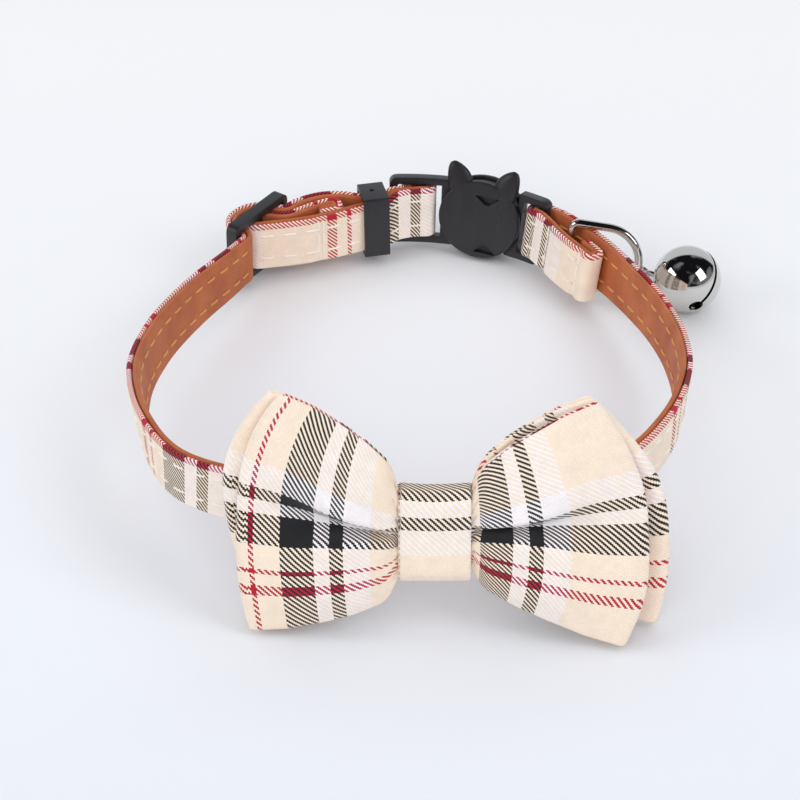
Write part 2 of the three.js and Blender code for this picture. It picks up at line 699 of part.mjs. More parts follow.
function bellSolid() {
  const { radius, shell, slit, hole } = bell;
  const outer = new THREE.SphereGeometry(radius, 22, 14);
  const inner = new THREE.SphereGeometry(radius - shell, 16, 10);
  const slitEnd = radians(bell.slitEnd);
  const reach = radius * 1.2;
  const wedge = new THREE.Shape().absarc(0, 0, reach, -slitEnd, slitEnd).lineTo(0, 0);
  const slot = slab(wedge, -slit / 2, slit / 2, 12);
  const eye = (side) => {
    const made = new THREE.CylinderGeometry(hole / 2, hole / 2, reach, 10).translate(0, reach / 2, 0);
    return made.rotateZ(-Math.PI / 2).rotateY(side * slitEnd);
  };
  const turned = geometryOf(cut(outer, inner, slot, eye(1), eye(-1)));
  const third = bell.mouth.clone().cross(bell.slitNormal).normalize();
  const basis = new THREE.Matrix4().makeBasis(bell.mouth, third.clone().cross(bell.mouth), third);
  turned.applyMatrix4(basis.setPosition(bell.middle));
  const middle = bell.middle.clone().addScaledVector(staple.toward, staple.reach);
  const sideways = staple.toward.clone().cross(up).normalize();
  return joined(turned, wireLoop(circlePoints(middle, sideways, staple.radius, 16), staple.wire));
}

function pelletGeometry() {
  const made = new THREE.SphereGeometry(pellet.radius, 12, 8);
  const drop = bell.radius - bell.shell - pellet.radius - pellet.gap;
  return made.translate(bell.middle.x, bell.middle.y, bell.middle.z - drop);
}

// ---- the collar ----

const finishes = {
  cloth: { color: 0xd9c7ae, roughness: 0.95, metalness: 0 },
  leather: { color: 0xb06a4a, roughness: 0.55, metalness: 0 },
  plastic: { color: 0x1d1d20, roughness: 0.6, metalness: 0 },
  nickel: { color: 0xc9c7c2, roughness: 0.2, metalness: 1 },
};

function piece(name, geometry, finish) {
  const made = new THREE.Mesh(geometry, new THREE.MeshStandardMaterial(finishes[finish]));
  made.name = name;
  return made;
}

const collarGroup = new THREE.Group();
collarGroup.add(
  piece("strap_face", strapFace, "cloth"),
  piece("strap_lining", strapLining, "leather"),
  piece("buckle_socket", bentGeometry(geometryOf(socketSolid())), "plastic"),
  piece("buckle_prong", bentGeometry(geometryOf(prongSolid())), "plastic"),
);

const bowGroup = new THREE.Group();
bowGroup.position.copy(bow.knot);
bowGroup.rotation.x = -radians(bow.lean);
bowGroup.add(
  piece("bow_front", bowGeometry(bows.front), "cloth"),
  piece("bow_back", bowGeometry(bows.back), "cloth"),
  piece("bow_knot", knotGeometry(), "cloth"),
);

const slide = piece("slide_adjuster", geometryOf(adjusterSolid()), "plastic");
slide.position.copy(adjuster.middle);
slide.rotation.z = radians(adjuster.turn);

const loop = piece("keeper_loop", keeperGeometry(), "plastic");
loop.position.copy(keeper.middle);
loop.rotation.set(-radians(keeper.lean), 0, radians(keeper.turn), "ZXY");

const jumpPoints = circlePoints(jump.middle, jump.normal, jump.radius, 18);
collarGroup.add(
  bowGroup,
  slide,
  loop,
  piece("d_ring", wireLoop(ringPoints(), ring.wire), "nickel"),
  piece("bell_ring", wireLoop(jumpPoints, jump.wire), "nickel"),
  piece("bell_shell", geometryOf(bellSolid()), "nickel"),
  piece("bell_pellet", pelletGeometry(), "nickel"),
);

// The origin is the middle of the collar's base.
const bounds = new THREE.Box3().setFromObject(collarGroup, true);
const centre = bounds.getCenter(new THREE.Vector3());
collarGroup.position.set(-centre.x, -centre.y, -bounds.min.z);

export default collarGroup;
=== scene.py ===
from math import ceil, copysign, cos, degrees, dist, exp, floor, hypot, pi, radians, sin

import bmesh
import bpy
from mathutils import Matrix, Vector


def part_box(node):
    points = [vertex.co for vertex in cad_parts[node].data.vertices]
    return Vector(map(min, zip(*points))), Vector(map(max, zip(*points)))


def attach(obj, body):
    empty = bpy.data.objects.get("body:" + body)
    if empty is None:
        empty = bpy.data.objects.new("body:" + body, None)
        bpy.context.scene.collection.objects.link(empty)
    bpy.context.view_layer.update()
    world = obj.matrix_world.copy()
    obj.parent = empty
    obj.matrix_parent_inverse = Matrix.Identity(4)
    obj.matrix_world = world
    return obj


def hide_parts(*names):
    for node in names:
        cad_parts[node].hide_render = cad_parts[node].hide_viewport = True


# A cat's collar with a double bow tie, a breakaway buckle and a jingle bell, dressed over its fixed frame.
# Lengths are millimetres in the collar's own drawing, and toFrame puts a drawn point in the frame.

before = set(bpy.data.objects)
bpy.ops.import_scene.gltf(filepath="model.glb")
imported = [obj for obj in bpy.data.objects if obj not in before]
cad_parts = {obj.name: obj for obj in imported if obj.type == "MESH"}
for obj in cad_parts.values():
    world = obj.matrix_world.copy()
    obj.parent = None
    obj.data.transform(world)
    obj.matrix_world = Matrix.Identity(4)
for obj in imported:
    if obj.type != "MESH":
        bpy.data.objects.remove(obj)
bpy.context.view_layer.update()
print("frame loaded")

mm = 0.001


def middleOf(node):
    low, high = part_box(node)
    return (low + high) / 2


bell = {
    "middle": Vector((55.2, 31.4, 5.95)), "radius": 6.5, "shell": 0.6, "edge": 0.09,
    "slit": 0.7, "hole": 2.8, "slitEnd": 82,
    "mouth": Vector((0.8, -0.19, 0.57)).normalized(),  # the middle of its slit
    "slitNormal": Vector((-0.59, -0.42, 0.69)), "pelletDrop": 3.95,
}
# The pellet lies straight below the bell's middle, so it tells where the drawing lies in the frame.
drawingAt = middleOf("bell_pellet") - (bell["middle"] - Vector((0, 0, bell["pelletDrop"]))) * mm


def toFrame(point):
    return Vector(point) * mm + drawingAt


def turned(angle, axis, size=3):
    return Matrix.Rotation(radians(angle), size, axis)


# A table's heading and its rows of numbers, as one dictionary for each row.
def table(heading, *rows):
    return [dict(zip(heading.split(), values)) for values in rows]


def linear(hexColour):
    channels = [int(hexColour[i : i + 2], 16) / 255 for i in (0, 2, 4)]
    return [c / 12.92 if c <= 0.04045 else ((c + 0.055) / 1.055) ** 2.4 for c in channels] + [1.0]


# Adds a node, or sets up one that is already there, by its name. A setting is one of its inputs, by name or
# number, or one of its properties. Another node's output is linked, and a node stands for its first output.
def addNode(tree, kind, settings):
    node = tree.nodes.get(kind) or tree.nodes.new(kind)
    for key, value in settings.items():
        if isinstance(value, bpy.types.Node):
            value = value.outputs[0]
        if isinstance(value, bpy.types.NodeSocket):
            tree.links.new(value, node.inputs[key])
        elif isinstance(key, int) or key in node.inputs:
            node.inputs[key].default_value = value
        else:
            setattr(node, key, value)
    return node


mathsKind, noiseKind = "ShaderNodeMath", "ShaderNodeTexNoise"
rangeKind, mixKind = "ShaderNodeMapRange", "ShaderNodeMix"


def newMaterial(name):
    material = bpy.data.materials.new(name)
    material.use_nodes = True
    return material, material.node_tree


# A yarn-dyed cotton twill, in millimetres of cloth. Each colour of the sett runs as threads one way and
# crosses the same colours the other way, so equal colours give solid blocks and unequal ones diagonal
# hatching. waver, cloud and fuzz are the sizes of its uneven ribs, of its tone and of its loose fibres.
plaid = {
    "sett": [
        ("FBE9D5", 12.8), ("BC1C36", 2.0), ("FBE9D5", 2.2), ("BC1C36", 0.9), ("FBE9D5", 4.3),
        ("202024", 5.8), ("FAF5F6", 2.6), ("202024", 2.4), ("FAF5F6", 4.6),
    ],
    "threadsToRib": 4, "waver": 1.1111, "cloud": 2.857, "fuzz": 0.2,
}


def settRamp(tree, coordinate, shift):
    repeat = sum(width for _, width in plaid["sett"])
    shifted = addNode(tree, mathsKind, {"operation": "ADD", 0: coordinate, 1: shift})
    repeats = addNode(tree, mathsKind, {"operation": "DIVIDE", 0: shifted, 1: repeat})
    place = addNode(tree, mathsKind, {"operation": "FRACT", 0: repeats})
    node = addNode(tree, "ShaderNodeValToRGB", {"Fac": place})
    ramp = node.color_ramp
    ramp.interpolation = "CONSTANT"
    while len(ramp.elements) > 1:
        ramp.elements.remove(ramp.elements[-1])
    start = 0
    for i, (colour, width) in enumerate(plaid["sett"]):
        element = ramp.elements[0] if i == 0 else ramp.elements.new(start / repeat)
        element.position = start / repeat
        element.color = linear(colour)
        start += width
    return node


# Cotton is rough, and its loose fibres give a faint pale sheen at the edges of a fold, so it looks dry and
# soft. A thread is drawn at 0.2 or 0.28 mm, a little coarser than it is, so that the hatching shows.
def twillCloth(name, shiftU, shiftV, thread):
    material, tree = newMaterial(name)
    uv = addNode(tree, "ShaderNodeUVMap", {"uv_map": "cloth"})
    split = addNode(tree, "ShaderNodeSeparateXYZ", {"Vector": uv})
    u, v = split.outputs["X"], split.outputs["Y"]
    warp, weft = settRamp(tree, v, shiftV), settRamp(tree, u, shiftU)
    acrossU = addNode(tree, mathsKind, {"operation": "DIVIDE", 0: u, 1: thread})
    acrossV = addNode(tree, mathsKind, {"operation": "DIVIDE", 0: v, 1: thread})
    threadU = addNode(tree, mathsKind, {"operation": "FLOOR", 0: acrossU})
    threadV = addNode(tree, mathsKind, {"operation": "FLOOR", 0: acrossV})
    # the ribs: a slope that half climbs thread by thread, folded to a ridge at every few threads
    smooth = addNode(tree, mathsKind, {"operation": "ADD", 0: acrossU, 1: acrossV})
    after = addNode(tree, mathsKind, {"operation": "ADD", 0: threadV, 1: 1.0})
    stepped = addNode(tree, mathsKind, {"operation": "ADD", 0: threadU, 1: after})
    both = addNode(tree, mathsKind, {"operation": "ADD", 0: smooth, 1: stepped})
    waver = {"Scale": 1 / plaid["waver"], "Detail": 3.0, "Roughness": 0.7}
    waver = addNode(tree, noiseKind, {**waver, "Vector": uv})
    slope = addNode(tree, mathsKind, {"operation": "MULTIPLY_ADD", 0: both, 1: 0.5, 2: waver})
    ribs = addNode(tree, mathsKind, {"operation": "DIVIDE", 0: slope, 1: plaid["threadsToRib"]})
    phase = addNode(tree, mathsKind, {"operation": "FRACT", 0: ribs})
    offMiddle = addNode(tree, mathsKind, {"operation": "SUBTRACT", 0: phase, 1: 0.5})
    folded = addNode(tree, mathsKind, {"operation": "ABSOLUTE", 0: offMiddle})
    ribbed = addNode(tree, mathsKind, {"operation": "MULTIPLY", 0: folded, 1: 2.0})
    over = {"interpolation_type": "SMOOTHSTEP", "From Min": 0.36, "From Max": 0.62}
    over = addNode(tree, rangeKind, {**over, "Value": ribbed})
    colour = addNode(tree, mixKind, {"data_type": "RGBA", "Factor": over, 6: weft, 7: warp}).outputs[2]
    # the relief: round threads, and a groove between two ribs
    ridges = []
    for across in (acrossU, acrossV):
        turns = addNode(tree, mathsKind, {"operation": "MULTIPLY", 0: across, 1: pi})
        wave = addNode(tree, mathsKind, {"operation": "SINE", 0: turns})
        ridges.append(addNode(tree, mathsKind, {"operation": "ABSOLUTE", 0: wave}))
    height = addNode(tree, mixKind, {"data_type": "FLOAT", "Factor": over, 2: ridges[0], 3: ridges[1]})
    height = addNode(tree, mathsKind, {"operation": "MULTIPLY", 0: height, 1: 0.3})
    rib = addNode(tree, mathsKind, {"operation": "MULTIPLY_ADD", 0: ribbed, 1: 2.0, 2: -1.0})
    rib = addNode(tree, mathsKind, {"operation": "ABSOLUTE", 0: rib})
    grooved = addNode(tree, mathsKind, {"operation": "MULTIPLY_ADD", 0: rib, 1: 0.7, 2: height})
    bump = addNode(tree, "ShaderNodeBump", {"Strength": 0.6, "Distance": 0.08 * mm, "Height": grooved})
    # the tone: painted shade in the grooves between ribs and between threads, and loose fibres, broad clouds
    # and crossings that are never quite alike, which vary it at random
    fuzz = {"Scale": 1 / plaid["fuzz"], "Detail": 2.0, "Roughness": 0.6}
    fuzz = addNode(tree, noiseKind, {**fuzz, "Vector": uv})
    # painted shade: the lower the relief, the darker the cloth, as if shade lay in its grooves; the fibres
    # then add random tone
    grooveShadeAndFibres = addNode(tree, mathsKind, {"operation": "MULTIPLY_ADD", 0: grooved, 1: 0.26, 2: 0.79})
    grooveShadeAndFibres = addNode(tree, mathsKind, {"operation": "MULTIPLY_ADD", 0: fuzz, 1: 0.14, 2: grooveShadeAndFibres})
    cloud = {"Scale": 1 / plaid["cloud"], "Detail": 4.0, "Roughness": 0.6}
    cloud = addNode(tree, noiseKind, {**cloud, "Vector": uv})
    shade = {"From Min": 0.3, "From Max": 0.7, "To Min": 0.95, "To Max": 1.04}
    shade = addNode(tree, rangeKind, {**shade, "Value": cloud})
    crossing = addNode(tree, "ShaderNodeCombineXYZ", {"X": threadU, "Y": threadV})
    uneven = addNode(tree, "ShaderNodeTexWhiteNoise", {"Vector": crossing}).outputs["Value"]
    uneven = addNode(tree, mathsKind, {"operation": "MULTIPLY_ADD", 0: uneven, 1: 0.05, 2: 0.975})
    # the sett's colours are multiplied by this painted groove shade and by the random tones
    paintedShadeAndTone = addNode(tree, mathsKind, {"operation": "MULTIPLY", 0: shade, 1: grooveShadeAndFibres})
    paintedShadeAndTone = addNode(tree, mathsKind, {"operation": "MULTIPLY", 0: paintedShadeAndTone, 1: uneven})
    lit = {"data_type": "RGBA", "blend_type": "MULTIPLY", "Factor": 1.0}
    lit = addNode(tree, mixKind, {**lit, 6: colour, 7: paintedShadeAndTone}).outputs[2]
    finish = {"Roughness": 0.92, "Sheen Weight": 0.12, "Sheen Roughness": 0.6, "Specular IOR Level": 0.25}
    addNode(tree, "Principled BSDF", {**finish, "Base Color": lit, "Normal": bump})
    return material


# Split leather has a low shine broken by its pores, and its dye lies in clouds, so it looks dry and warm.
def tanLeather():
    material, tree = newMaterial("tanned split leather")
    place = addNode(tree, "ShaderNodeTexCoord", {}).outputs["Object"]
    pore, cloud = 0.2778 * mm, 5.556 * mm
    pores = addNode(tree, "ShaderNodeTexVoronoi", {"Scale": 1 / pore, "Vector": place})
    clouds = addNode(tree, noiseKind, {"Scale": 1 / cloud, "Detail": 5.0, "Vector": place})
    share = addNode(tree, rangeKind, {"From Min": 0.3, "From Max": 0.75, "Value": clouds})
    dye = {"data_type": "RGBA", 6: linear("AB5A36"), 7: linear("C47244")}
    dye = addNode(tree, mixKind, {**dye, "Factor": share}).outputs[2]
    bump = addNode(tree, "ShaderNodeBump", {"Strength": 0.3, "Distance": 0.06 * mm, "Height": pores})
    finish = {"Roughness": 0.55, "Specular IOR Level": 0.3}
    addNode(tree, "Principled BSDF", {**finish, "Base Color": dye, "Normal": bump})
    return material


# Acetal keeps the fine grain of its mould, which spreads a highlight into a soft grey sheen.
def mouldedPlastic():
    material, tree = newMaterial("moulded acetal")
    place = addNode(tree, "ShaderNodeTexCoord", {}).outputs["Object"]
    grit = 0.25 * mm
    grain = addNode(tree, noiseKind, {"Scale": 1 / grit, "Detail": 3.0, "Vector": place})
    bump = addNode(tree, "ShaderNodeBump", {"Strength": 0.2, "Distance": 0.05 * mm, "Height": grain})
    addNode(tree, "Principled BSDF", {"Roughness": 0.42, "Base Color": linear("242428"), "Normal": bump})
    return material


# Polished nickel mirrors the studio, a little less sharply where fingers have smeared it.
def nickelPlate():
    material, tree = newMaterial("polished nickel plate")
    place = addNode(tree, "ShaderNodeTexCoord", {}).outputs["Object"]
    smear = 3.333 * mm
    smears = addNode(tree, noiseKind, {"Scale": 1 / smear, "Detail": 3.0, "Vector": place})
    rough = {"From Min": 0.3, "From Max": 0.8, "To Min": 0.04, "To Max": 0.12}
    rough = addNode(tree, rangeKind, {**rough, "Value": smears})
    addNode(tree, "Principled BSDF", {"Metallic": 1.0, "Base Color": linear("D8D6D2"), "Roughness": rough})
    return material


# Twisted strands give sewing thread small cross shadows and a faint silky edge. They are drawn at 0.2 mm,
# coarser than they are, so that they show.
def sewingThread(name, colour):
    material, tree = newMaterial(name)
    place = addNode(tree, "ShaderNodeTexCoord", {}).outputs["Object"]
    strand = 0.2 * mm
    strands = addNode(tree, noiseKind, {"Scale": 1 / strand, "Detail": 2.0, "Vector": place})
    bump = addNode(tree, "ShaderNodeBump", {"Strength": 0.4, "Distance": 0.06 * mm, "Height": strands})
    finish = {"Roughness": 0.55, "Base Color": linear(colour), "Sheen Weight": 0.2}
    addNode(tree, "Principled BSDF", {**finish, "Normal": bump})
    return material


goldThread = sewingThread("waxed golden thread", "D9984A")
creamThread = sewingThread("cream sewing thread", "FBF4EA")
bowCloth = twillCloth("cotton twill of the bows", 16.5, 28.0, 0.28)
rearCloth = twillCloth("cotton twill of the rear bow", 6.5, 28.0, 0.28)
strapCloth = twillCloth("cotton twill of the strap", 14.0, 3.6, 0.2)
knotCloth = twillCloth("cotton twill of the knot", 20.0, 6.0, 0.28)
leather = tanLeather()
plastic = mouldedPlastic()
nickel = nickelPlate()
print("materials made")


def inScene(name, data):
    thing = bpy.data.objects.new(name, data)
    bpy.context.scene.collection.objects.link(thing)
    return thing


def meshObject(name, points, faces, material, uvs=None):
    made = bpy.data.meshes.new(name)
    made.from_pydata([tuple(p) for p in points], [], faces)
    if uvs is not None:
        layer = made.uv_layers.new(name="cloth")
        for loop, uv in zip(layer.data, (uv for face in uvs for uv in face)):
            loop.uv = uv
    made.materials.append(material)
    made.validate()
    outward = bmesh.new()
    outward.from_mesh(made)
    bmesh.ops.recalc_face_normals(outward, faces=outward.faces)
    outward.to_mesh(made)
    outward.free()
    for polygon in made.polygons:
        polygon.use_smooth = True
    return inScene(name, made)


# The faces through rings of as many points each, joined end to end or capped.
def ringFaces(rings, count, closed):
    faces = []
    for i in range(rings if closed else rings - 1):
        here, after = i * count, (i + 1) % rings * count
        for j in range(count):
            beside = (j + 1) % count
            faces.append((here + j, here + beside, after + beside, after + j))
    if not closed:
        faces += [tuple(range(count)), tuple(range((rings - 1) * count, rings * count))]
    return faces


# A closed skin through rings of points. along and across tell where each of them lies on the cloth.
def ringSkin(name, rings, along, across, material, closed):
    count = len(rings[0])
    points = [p for ring in rings for p in ring]
    uvs = []
    for i in range(len(rings) if closed else len(rings) - 1):
        after = (i + 1) % len(rings)
        for j in range(count):
            u0, u1 = along[i], along[i + 1]
            v0, v1 = across(i, j), across(i, j + 1)
            w0, w1 = across(after, j), across(after, j + 1)
            uvs.append(((u0, v0), (u0, v1), (u1, w1), (u1, w0)))
    if not closed:
        for i in (0, len(rings) - 1):
            uvs.append(tuple((along[i], across(i, j)) for j in range(count)))
    return meshObject(name, points, ringFaces(len(rings), count, closed), material, uvs)


# The strap follows one route through all its fittings.
collarMiddle = Vector((2, -2.5, 0))
strap = {"width": 10, "ply": 0.95, "plyGap": 0.2, "clearance": 0.15, "step": 0.7, "turn": 7}
strap["thickness"] = 2 * strap["ply"] + strap["plyGap"]
strap["layer"] = strap["thickness"] + strap["clearance"]
buckle = {
    "middle": Vector((16.3, 51.35, 7.5)), "bearing": 20, "bend": 45, "lean": 13, "depth": 2.4,
    "barDepth": 1.4, "barWidth": 1.8, "barPlace": 12.7, "railHalf": 6.7, "slotHalf": 5.3, "slotWidth": 3.4,
}
adjuster = {"middle": Vector((-27.7, 43.15, 7.5)), "turn": 54.6, "depth": 2.4}


# From the buckle's flat drawing, x along the strap, y outward and z up, to its bent and leaning place.
def bent(x, y, z):
    start = radians(buckle["bearing"])
    lean = radians(buckle["lean"])
    angle = start + x / buckle["bend"]
    out = Vector((sin(angle), cos(angle), 0))
    axis = buckle["middle"] - Vector((sin(start), cos(start), 0)) * buckle["bend"]
    away = buckle["bend"] + y * cos(lean) + z * sin(lean)
    return axis + out * away + Vector((0, 0, z * cos(lean) - y * sin(lean)))


# A point of the route and the way across the strap there, which leans out from the collar's middle.
def row(x, y, z, lean):
    away = Vector((x - collarMiddle.x, y - collarMiddle.y, 0)).normalized()
    return Vector((x, y, z)), away * sin(radians(lean)) + Vector((0, 0, cos(radians(lean))))


def atBuckle(x, y):
    return bent(x, y, 0), bent(x, y, 1) - bent(x, y, 0)


def atAdjuster(along, out):
    c, n = cos(radians(adjuster["turn"])), sin(radians(adjuster["turn"]))
    shift = Vector((along * c - out * n, along * n + out * c, 0))
    return adjuster["middle"] + shift, Vector((0, 0, 1))


foldSquare = 0.65  # under one, a fold keeps clear of a bar's corners


def foldTurns():
    for turn in range(90, -91, -30):
        c, n = cos(radians(turn)), sin(radians(turn))
        yield abs(c) ** foldSquare, copysign(abs(n) ** foldSquare, n)


foldAlong = buckle["barWidth"] / 2 + strap["clearance"] + strap["thickness"] / 2
foldOut = buckle["barDepth"] / 2 + strap["clearance"] + strap["thickness"] / 2


def buckleFold(side):
    bar = buckle["barPlace"]
    return [atBuckle(side * (bar - foldAlong * ahead), -side * foldOut * left) for ahead, left in foldTurns()]


def hemFold(x, y, z, lean, facing):
    c, n = cos(radians(facing)), sin(radians(facing))
    reach = strap["layer"] / 2
    return [
        row(x + reach * (ahead * c - left * n), y + reach * (ahead * n + left * c), z, lean)
        for ahead, left in foldTurns()
    ]


# Points of the route, each put in place by the same function.
def each(place, *points):
    return [place(*point) for point in points]


insideEndBar = -(adjuster["depth"] / 2 + strap["clearance"] + strap["thickness"] / 2)
route = [
    row(34.9, 34.2, 7.8, 13),  # the tail's turned-in end
    *hemFold(35.9, 30.4, 7.9, 12, -60),
    row(30.9, 36.1, 7.7, 13),
    *buckleFold(1),
    atBuckle(14.3, 1.9),
    *each(  # once round the neck, by the right
        row,
        (31.2, 43.7, 7.8, 13), (35.0, 38.5, 8.3, 12), (38.85, 32.8, 8.5, 11), (43.9, 21.9, 9.7, 8),
        (48.3, 10.4, 10.7, 8), (50.9, -1.6, 11.8, 9), (51.2, -14.0, 13.0, 8), (47.2, -30.0, 14.4, 2),
        (38.0, -44.8, 15.4, -5), (22.5, -53.2, 16.2, -11), (6.0, -55.6, 16.5, -14), (-10.5, -54.6, 16.5, -13),
        (-26.5, -50.6, 16.2, -8), (-38.5, -43.0, 15.3, -1), (-45.2, -29.0, 14.2, 6), (-47.5, -13.0, 12.9, 12),
        (-45.0, 2.0, 11.5, 11), (-39.2, 17.0, 10.0, 8), (-32.6, 29.4, 8.7, 2),
    ),
    *each(  # under one end bar, over the middle bar, under the other
        atAdjuster,
        (-8.4, insideEndBar - 0.15), (-6.5, insideEndBar), (-5.2, -0.9), (-5.1, 0.8), (-4.5, 2.6),
        (-2.9, 3.95), (-0.5, 4.4), (2.0, 3.8), (4.0, 2.3), (4.95, 0.6), (5.2, -0.9),
        (6.6, insideEndBar - 0.15), (8.6, insideEndBar - 0.3),
    ),
    *each(  # the keeper's outer layer
        row,
        (-15.8, 51.2, 7.5, 1), (-11.2, 51.5, 7.5, 2), (-7.8, 50.65, 7.5, 4), (-2.8, 51.6, 7.6, 7),
    ),
    *each(  # under the buckle's end bar, over its next bar
        atBuckle,
        (-17.8, -foldOut - 0.05), (-16.3, -1.75), (-15.35, -0.5), (-15.1, 0.6), (-14.3, 1.75),
    ),
    *buckleFold(-1),
    atBuckle(-17.8, -foldOut - strap["layer"] - 0.15),
    *each(  # the keeper's inner layer
        row,
        (-2.6, 48.9, 7.7, 7), (-7.3, 47.3, 7.5, 3), (-13.8, 44.2, 7.5, 1), (-17.2, 42.95, 7.5, 0),
    ),
    *each(  # round the middle bar
        atAdjuster,
        (3.9, -7.0), (1.4, -4.75), (-0.6, -2.8), (-1.9, -1.5), (-2.3, 0), (-1.6, 1.5),
        (0, 2.0), (1.6, 1.5), (2.3, 0.1), (3.0, -1.5), (4.0, -3.4),
    ),
    row(-20.9, 44.95, 7.5, 0),
    row(-17.5, 47.3, 7.5, 0),
    *hemFold(-13.4, 48.1, 7.5, 1, 18),
    row(-15.6, 46.2, 7.5, 1),  # the strap's other turned-in end
]


# One span of a centripetal Catmull-Rom curve: its place and its direction at a share t of the way.
def spanAt(points, i, t):
    p1, p2 = points[i], points[i + 1]
    p0 = points[i - 1] if i > 0 else 2 * p1 - p2
    p3 = points[i + 2] if i + 2 < len(points) else 2 * p2 - p1
    d0, d1, d2 = ((b - a).length ** 0.5 for a, b in ((p0, p1), (p1, p2), (p2, p3)))
    m1 = ((p1 - p0) / d0 - (p2 - p0) / (d0 + d1) + (p2 - p1) / d1) * d1
    m2 = ((p2 - p1) / d1 - (p3 - p1) / (d1 + d2) + (p3 - p2) / d2) * d1
    c2 = -3 * p1 + 3 * p2 - 2 * m1 - m2
    c3 = 2 * p1 - 2 * p2 + m1 + m2
    return p1 + m1 * t + c2 * t * t + c3 * t**3, (m1 + 2 * c2 * t + 3 * c3 * t * t).normalized()


def makeStations():
    points = [p for p, _ in route]
    widths = [w for _, w in route]
    made = []
    for i in range(len(route) - 1):
        turn = degrees(spanAt(points, i, 0)[1].angle(spanAt(points, i, 1)[1]))
        length = (points[i + 1] - points[i]).length
        steps = max(1, ceil(turn / strap["turn"]), ceil(length / strap["step"]))
        for k in range(0 if i == 0 else 1, steps + 1):
            place, along = spanAt(points, i, k / steps)
            width = widths[i].lerp(widths[i + 1], k / steps).normalized()
            gone = made[-1]["gone"] + (place - made[-1]["place"]).length if made else 0
            left = width.cross(along).normalized()
            made.append({"place": place, "width": width, "left": left, "gone": gone})
    return made


stations = makeStations()
strapEnd = stations[-1]["gone"]
print("route of", len(stations), "stations,", round(strapEnd), "mm of strap")


def arc(middle, radius, start, end, steps):
    for k in range(steps + 1):
        angle = radians(start + (end - start) * k / steps)
        yield middle[0] + radius * cos(angle), middle[1] + radius * sin(angle)


# How far along a line of points each of them lies.
def runningLength(points):
    gone = [0]
    for a, b in zip(points, points[1:]):
        gone.append(gone[-1] + (Vector(b) - Vector(a)).length)
    return gone


# A ply's cross-section, as places across the strap and out from the route, with round edges.
def plySection(inner, outer, radius):
    flat = strap["width"] / 2 - radius
    steps, corner = 14, 4
    across = [-flat + 2 * flat * k / steps for k in range(1, steps)]
    section = [(x, outer) for x in across]
    section += arc((flat, outer - radius), radius, 90, 0, corner)
    section += arc((flat, inner + radius), radius, 0, -90, corner)
    section += [(x, inner) for x in reversed(across)]
    section += arc((-flat, inner + radius), radius, -90, -180, corner)
    section += arc((-flat, outer - radius), radius, 180, 90, corner)
    return section


def goneNear(x, y, low, high):
    some = [s for s in stations if low <= s["gone"] <= high]
    return min(some, key=lambda s: hypot(s["place"].x - x, s["place"].y - y))["gone"]


# Where rows of stitches cross the strap and draw its cloth in. Each has its place along the strap, how deep
# it draws, how far it reaches and where its rows run.
tacks = table(
    "at deep reach rows",
    (goneNear(35.0, 31.4, 7, 25), 0.7, 0.85, [0]),
    (goneNear(29.6, 41.0, 7, 25), 0.7, 0.85, [0]),
    (goneNear(-15.6, 43.6, strapEnd - 70, strapEnd), 0.4, 1.3, [-0.5, 0.5]),
)


def drawnIn(gone):
    return sum(t["deep"] * exp(-(((gone - t["at"]) / t["reach"]) ** 2)) for t in tacks)


def pressed(gone, y):
    return y - drawnIn(gone) * max(0, y) / strapHalf


def dress(piece, node, whole=True):
    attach(piece, "root")
    if whole:
        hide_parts(node)


def strapPly(name, inner, outer, radius, material, node):
    section = plySection(inner, outer, radius)
    gone = runningLength(section + section[:1])
    low = dist(section[0], section[-1]) + outer - radius - (outer + inner) / 2 + radius * pi / 2
    around = gone[-1]
    gone = [(g + low) % around for g in gone]
    gone = [min(g, around - g) for g in gone]  # turned over the top edge, the cloth runs down again
    rings = [
        [toFrame(s["place"] + s["width"] * x + s["left"] * pressed(s["gone"], y)) for x, y in section]
        for s in stations
    ]
    made = ringSkin(name, rings, [-s["gone"] for s in stations], lambda i, j: gone[j], material, False)
    dress(made, node)


strapHalf = strap["thickness"] / 2
strapPly("strapCloth", strap["plyGap"] / 2, strapHalf, 0.42, strapCloth, "strap_face")
strapPly("strapLeather", -strapHalf, -strap["plyGap"] / 2, 0.45, leather, "strap_lining")
print("strap made")


seam = {
    "inset": 2.5, "pitch": 4.4, "stitch": 2.6, "thread": 0.42, "sunk": 0.02, "end": 4, "bend": 24,
    "tackPitch": 2.9,
}


# One stitch lying along x, its ends diving into the cloth at z = 0.
def stitchModel():
    half = [(0.15, 0.45), (0.36, 0.3), (0.46, -0.1), (0.5, -0.9)]
    path = [(-along, up) for along, up in reversed(half)] + half
    sides, thick = 8, seam["thread"] / 2
    points = []
    for along, up in path:
        for k in range(sides):
            angle = 2 * pi * k / sides
            rise = up * thick + thick * sin(angle)
            points.append(Vector((along * seam["stitch"], thick * cos(angle), rise)))
    return points, ringFaces(len(path), sides, False)


# Copies of a stitch, joined in one mesh. Each place is where it lies, which way it runs and which way is up.
def sew(name, places, material, node):
    points, faces = stitchModel()
    allPoints, allFaces = [], []
    for middle, along, up in places:
        start = len(allPoints)
        turn = Matrix((along, up.cross(along), up)).transposed()
        allPoints += [toFrame(middle + turn @ p) for p in points]
        allFaces += [tuple(start + k for k in face) for face in faces]
    dress(meshObject(name, allPoints, allFaces, material), node, False)


def stationAt(gone):
    i = next(k for k, s in enumerate(stations) if s["gone"] >= gone)
    a, b = stations[max(i, 1) - 1], stations[max(i, 1)]
    share = (gone - a["gone"]) / (b["gone"] - a["gone"])
    made = {key: a[key].lerp(b[key], share) for key in ("place", "width", "left")}
    made["along"] = (b["place"] - a["place"]).normalized()
    return made


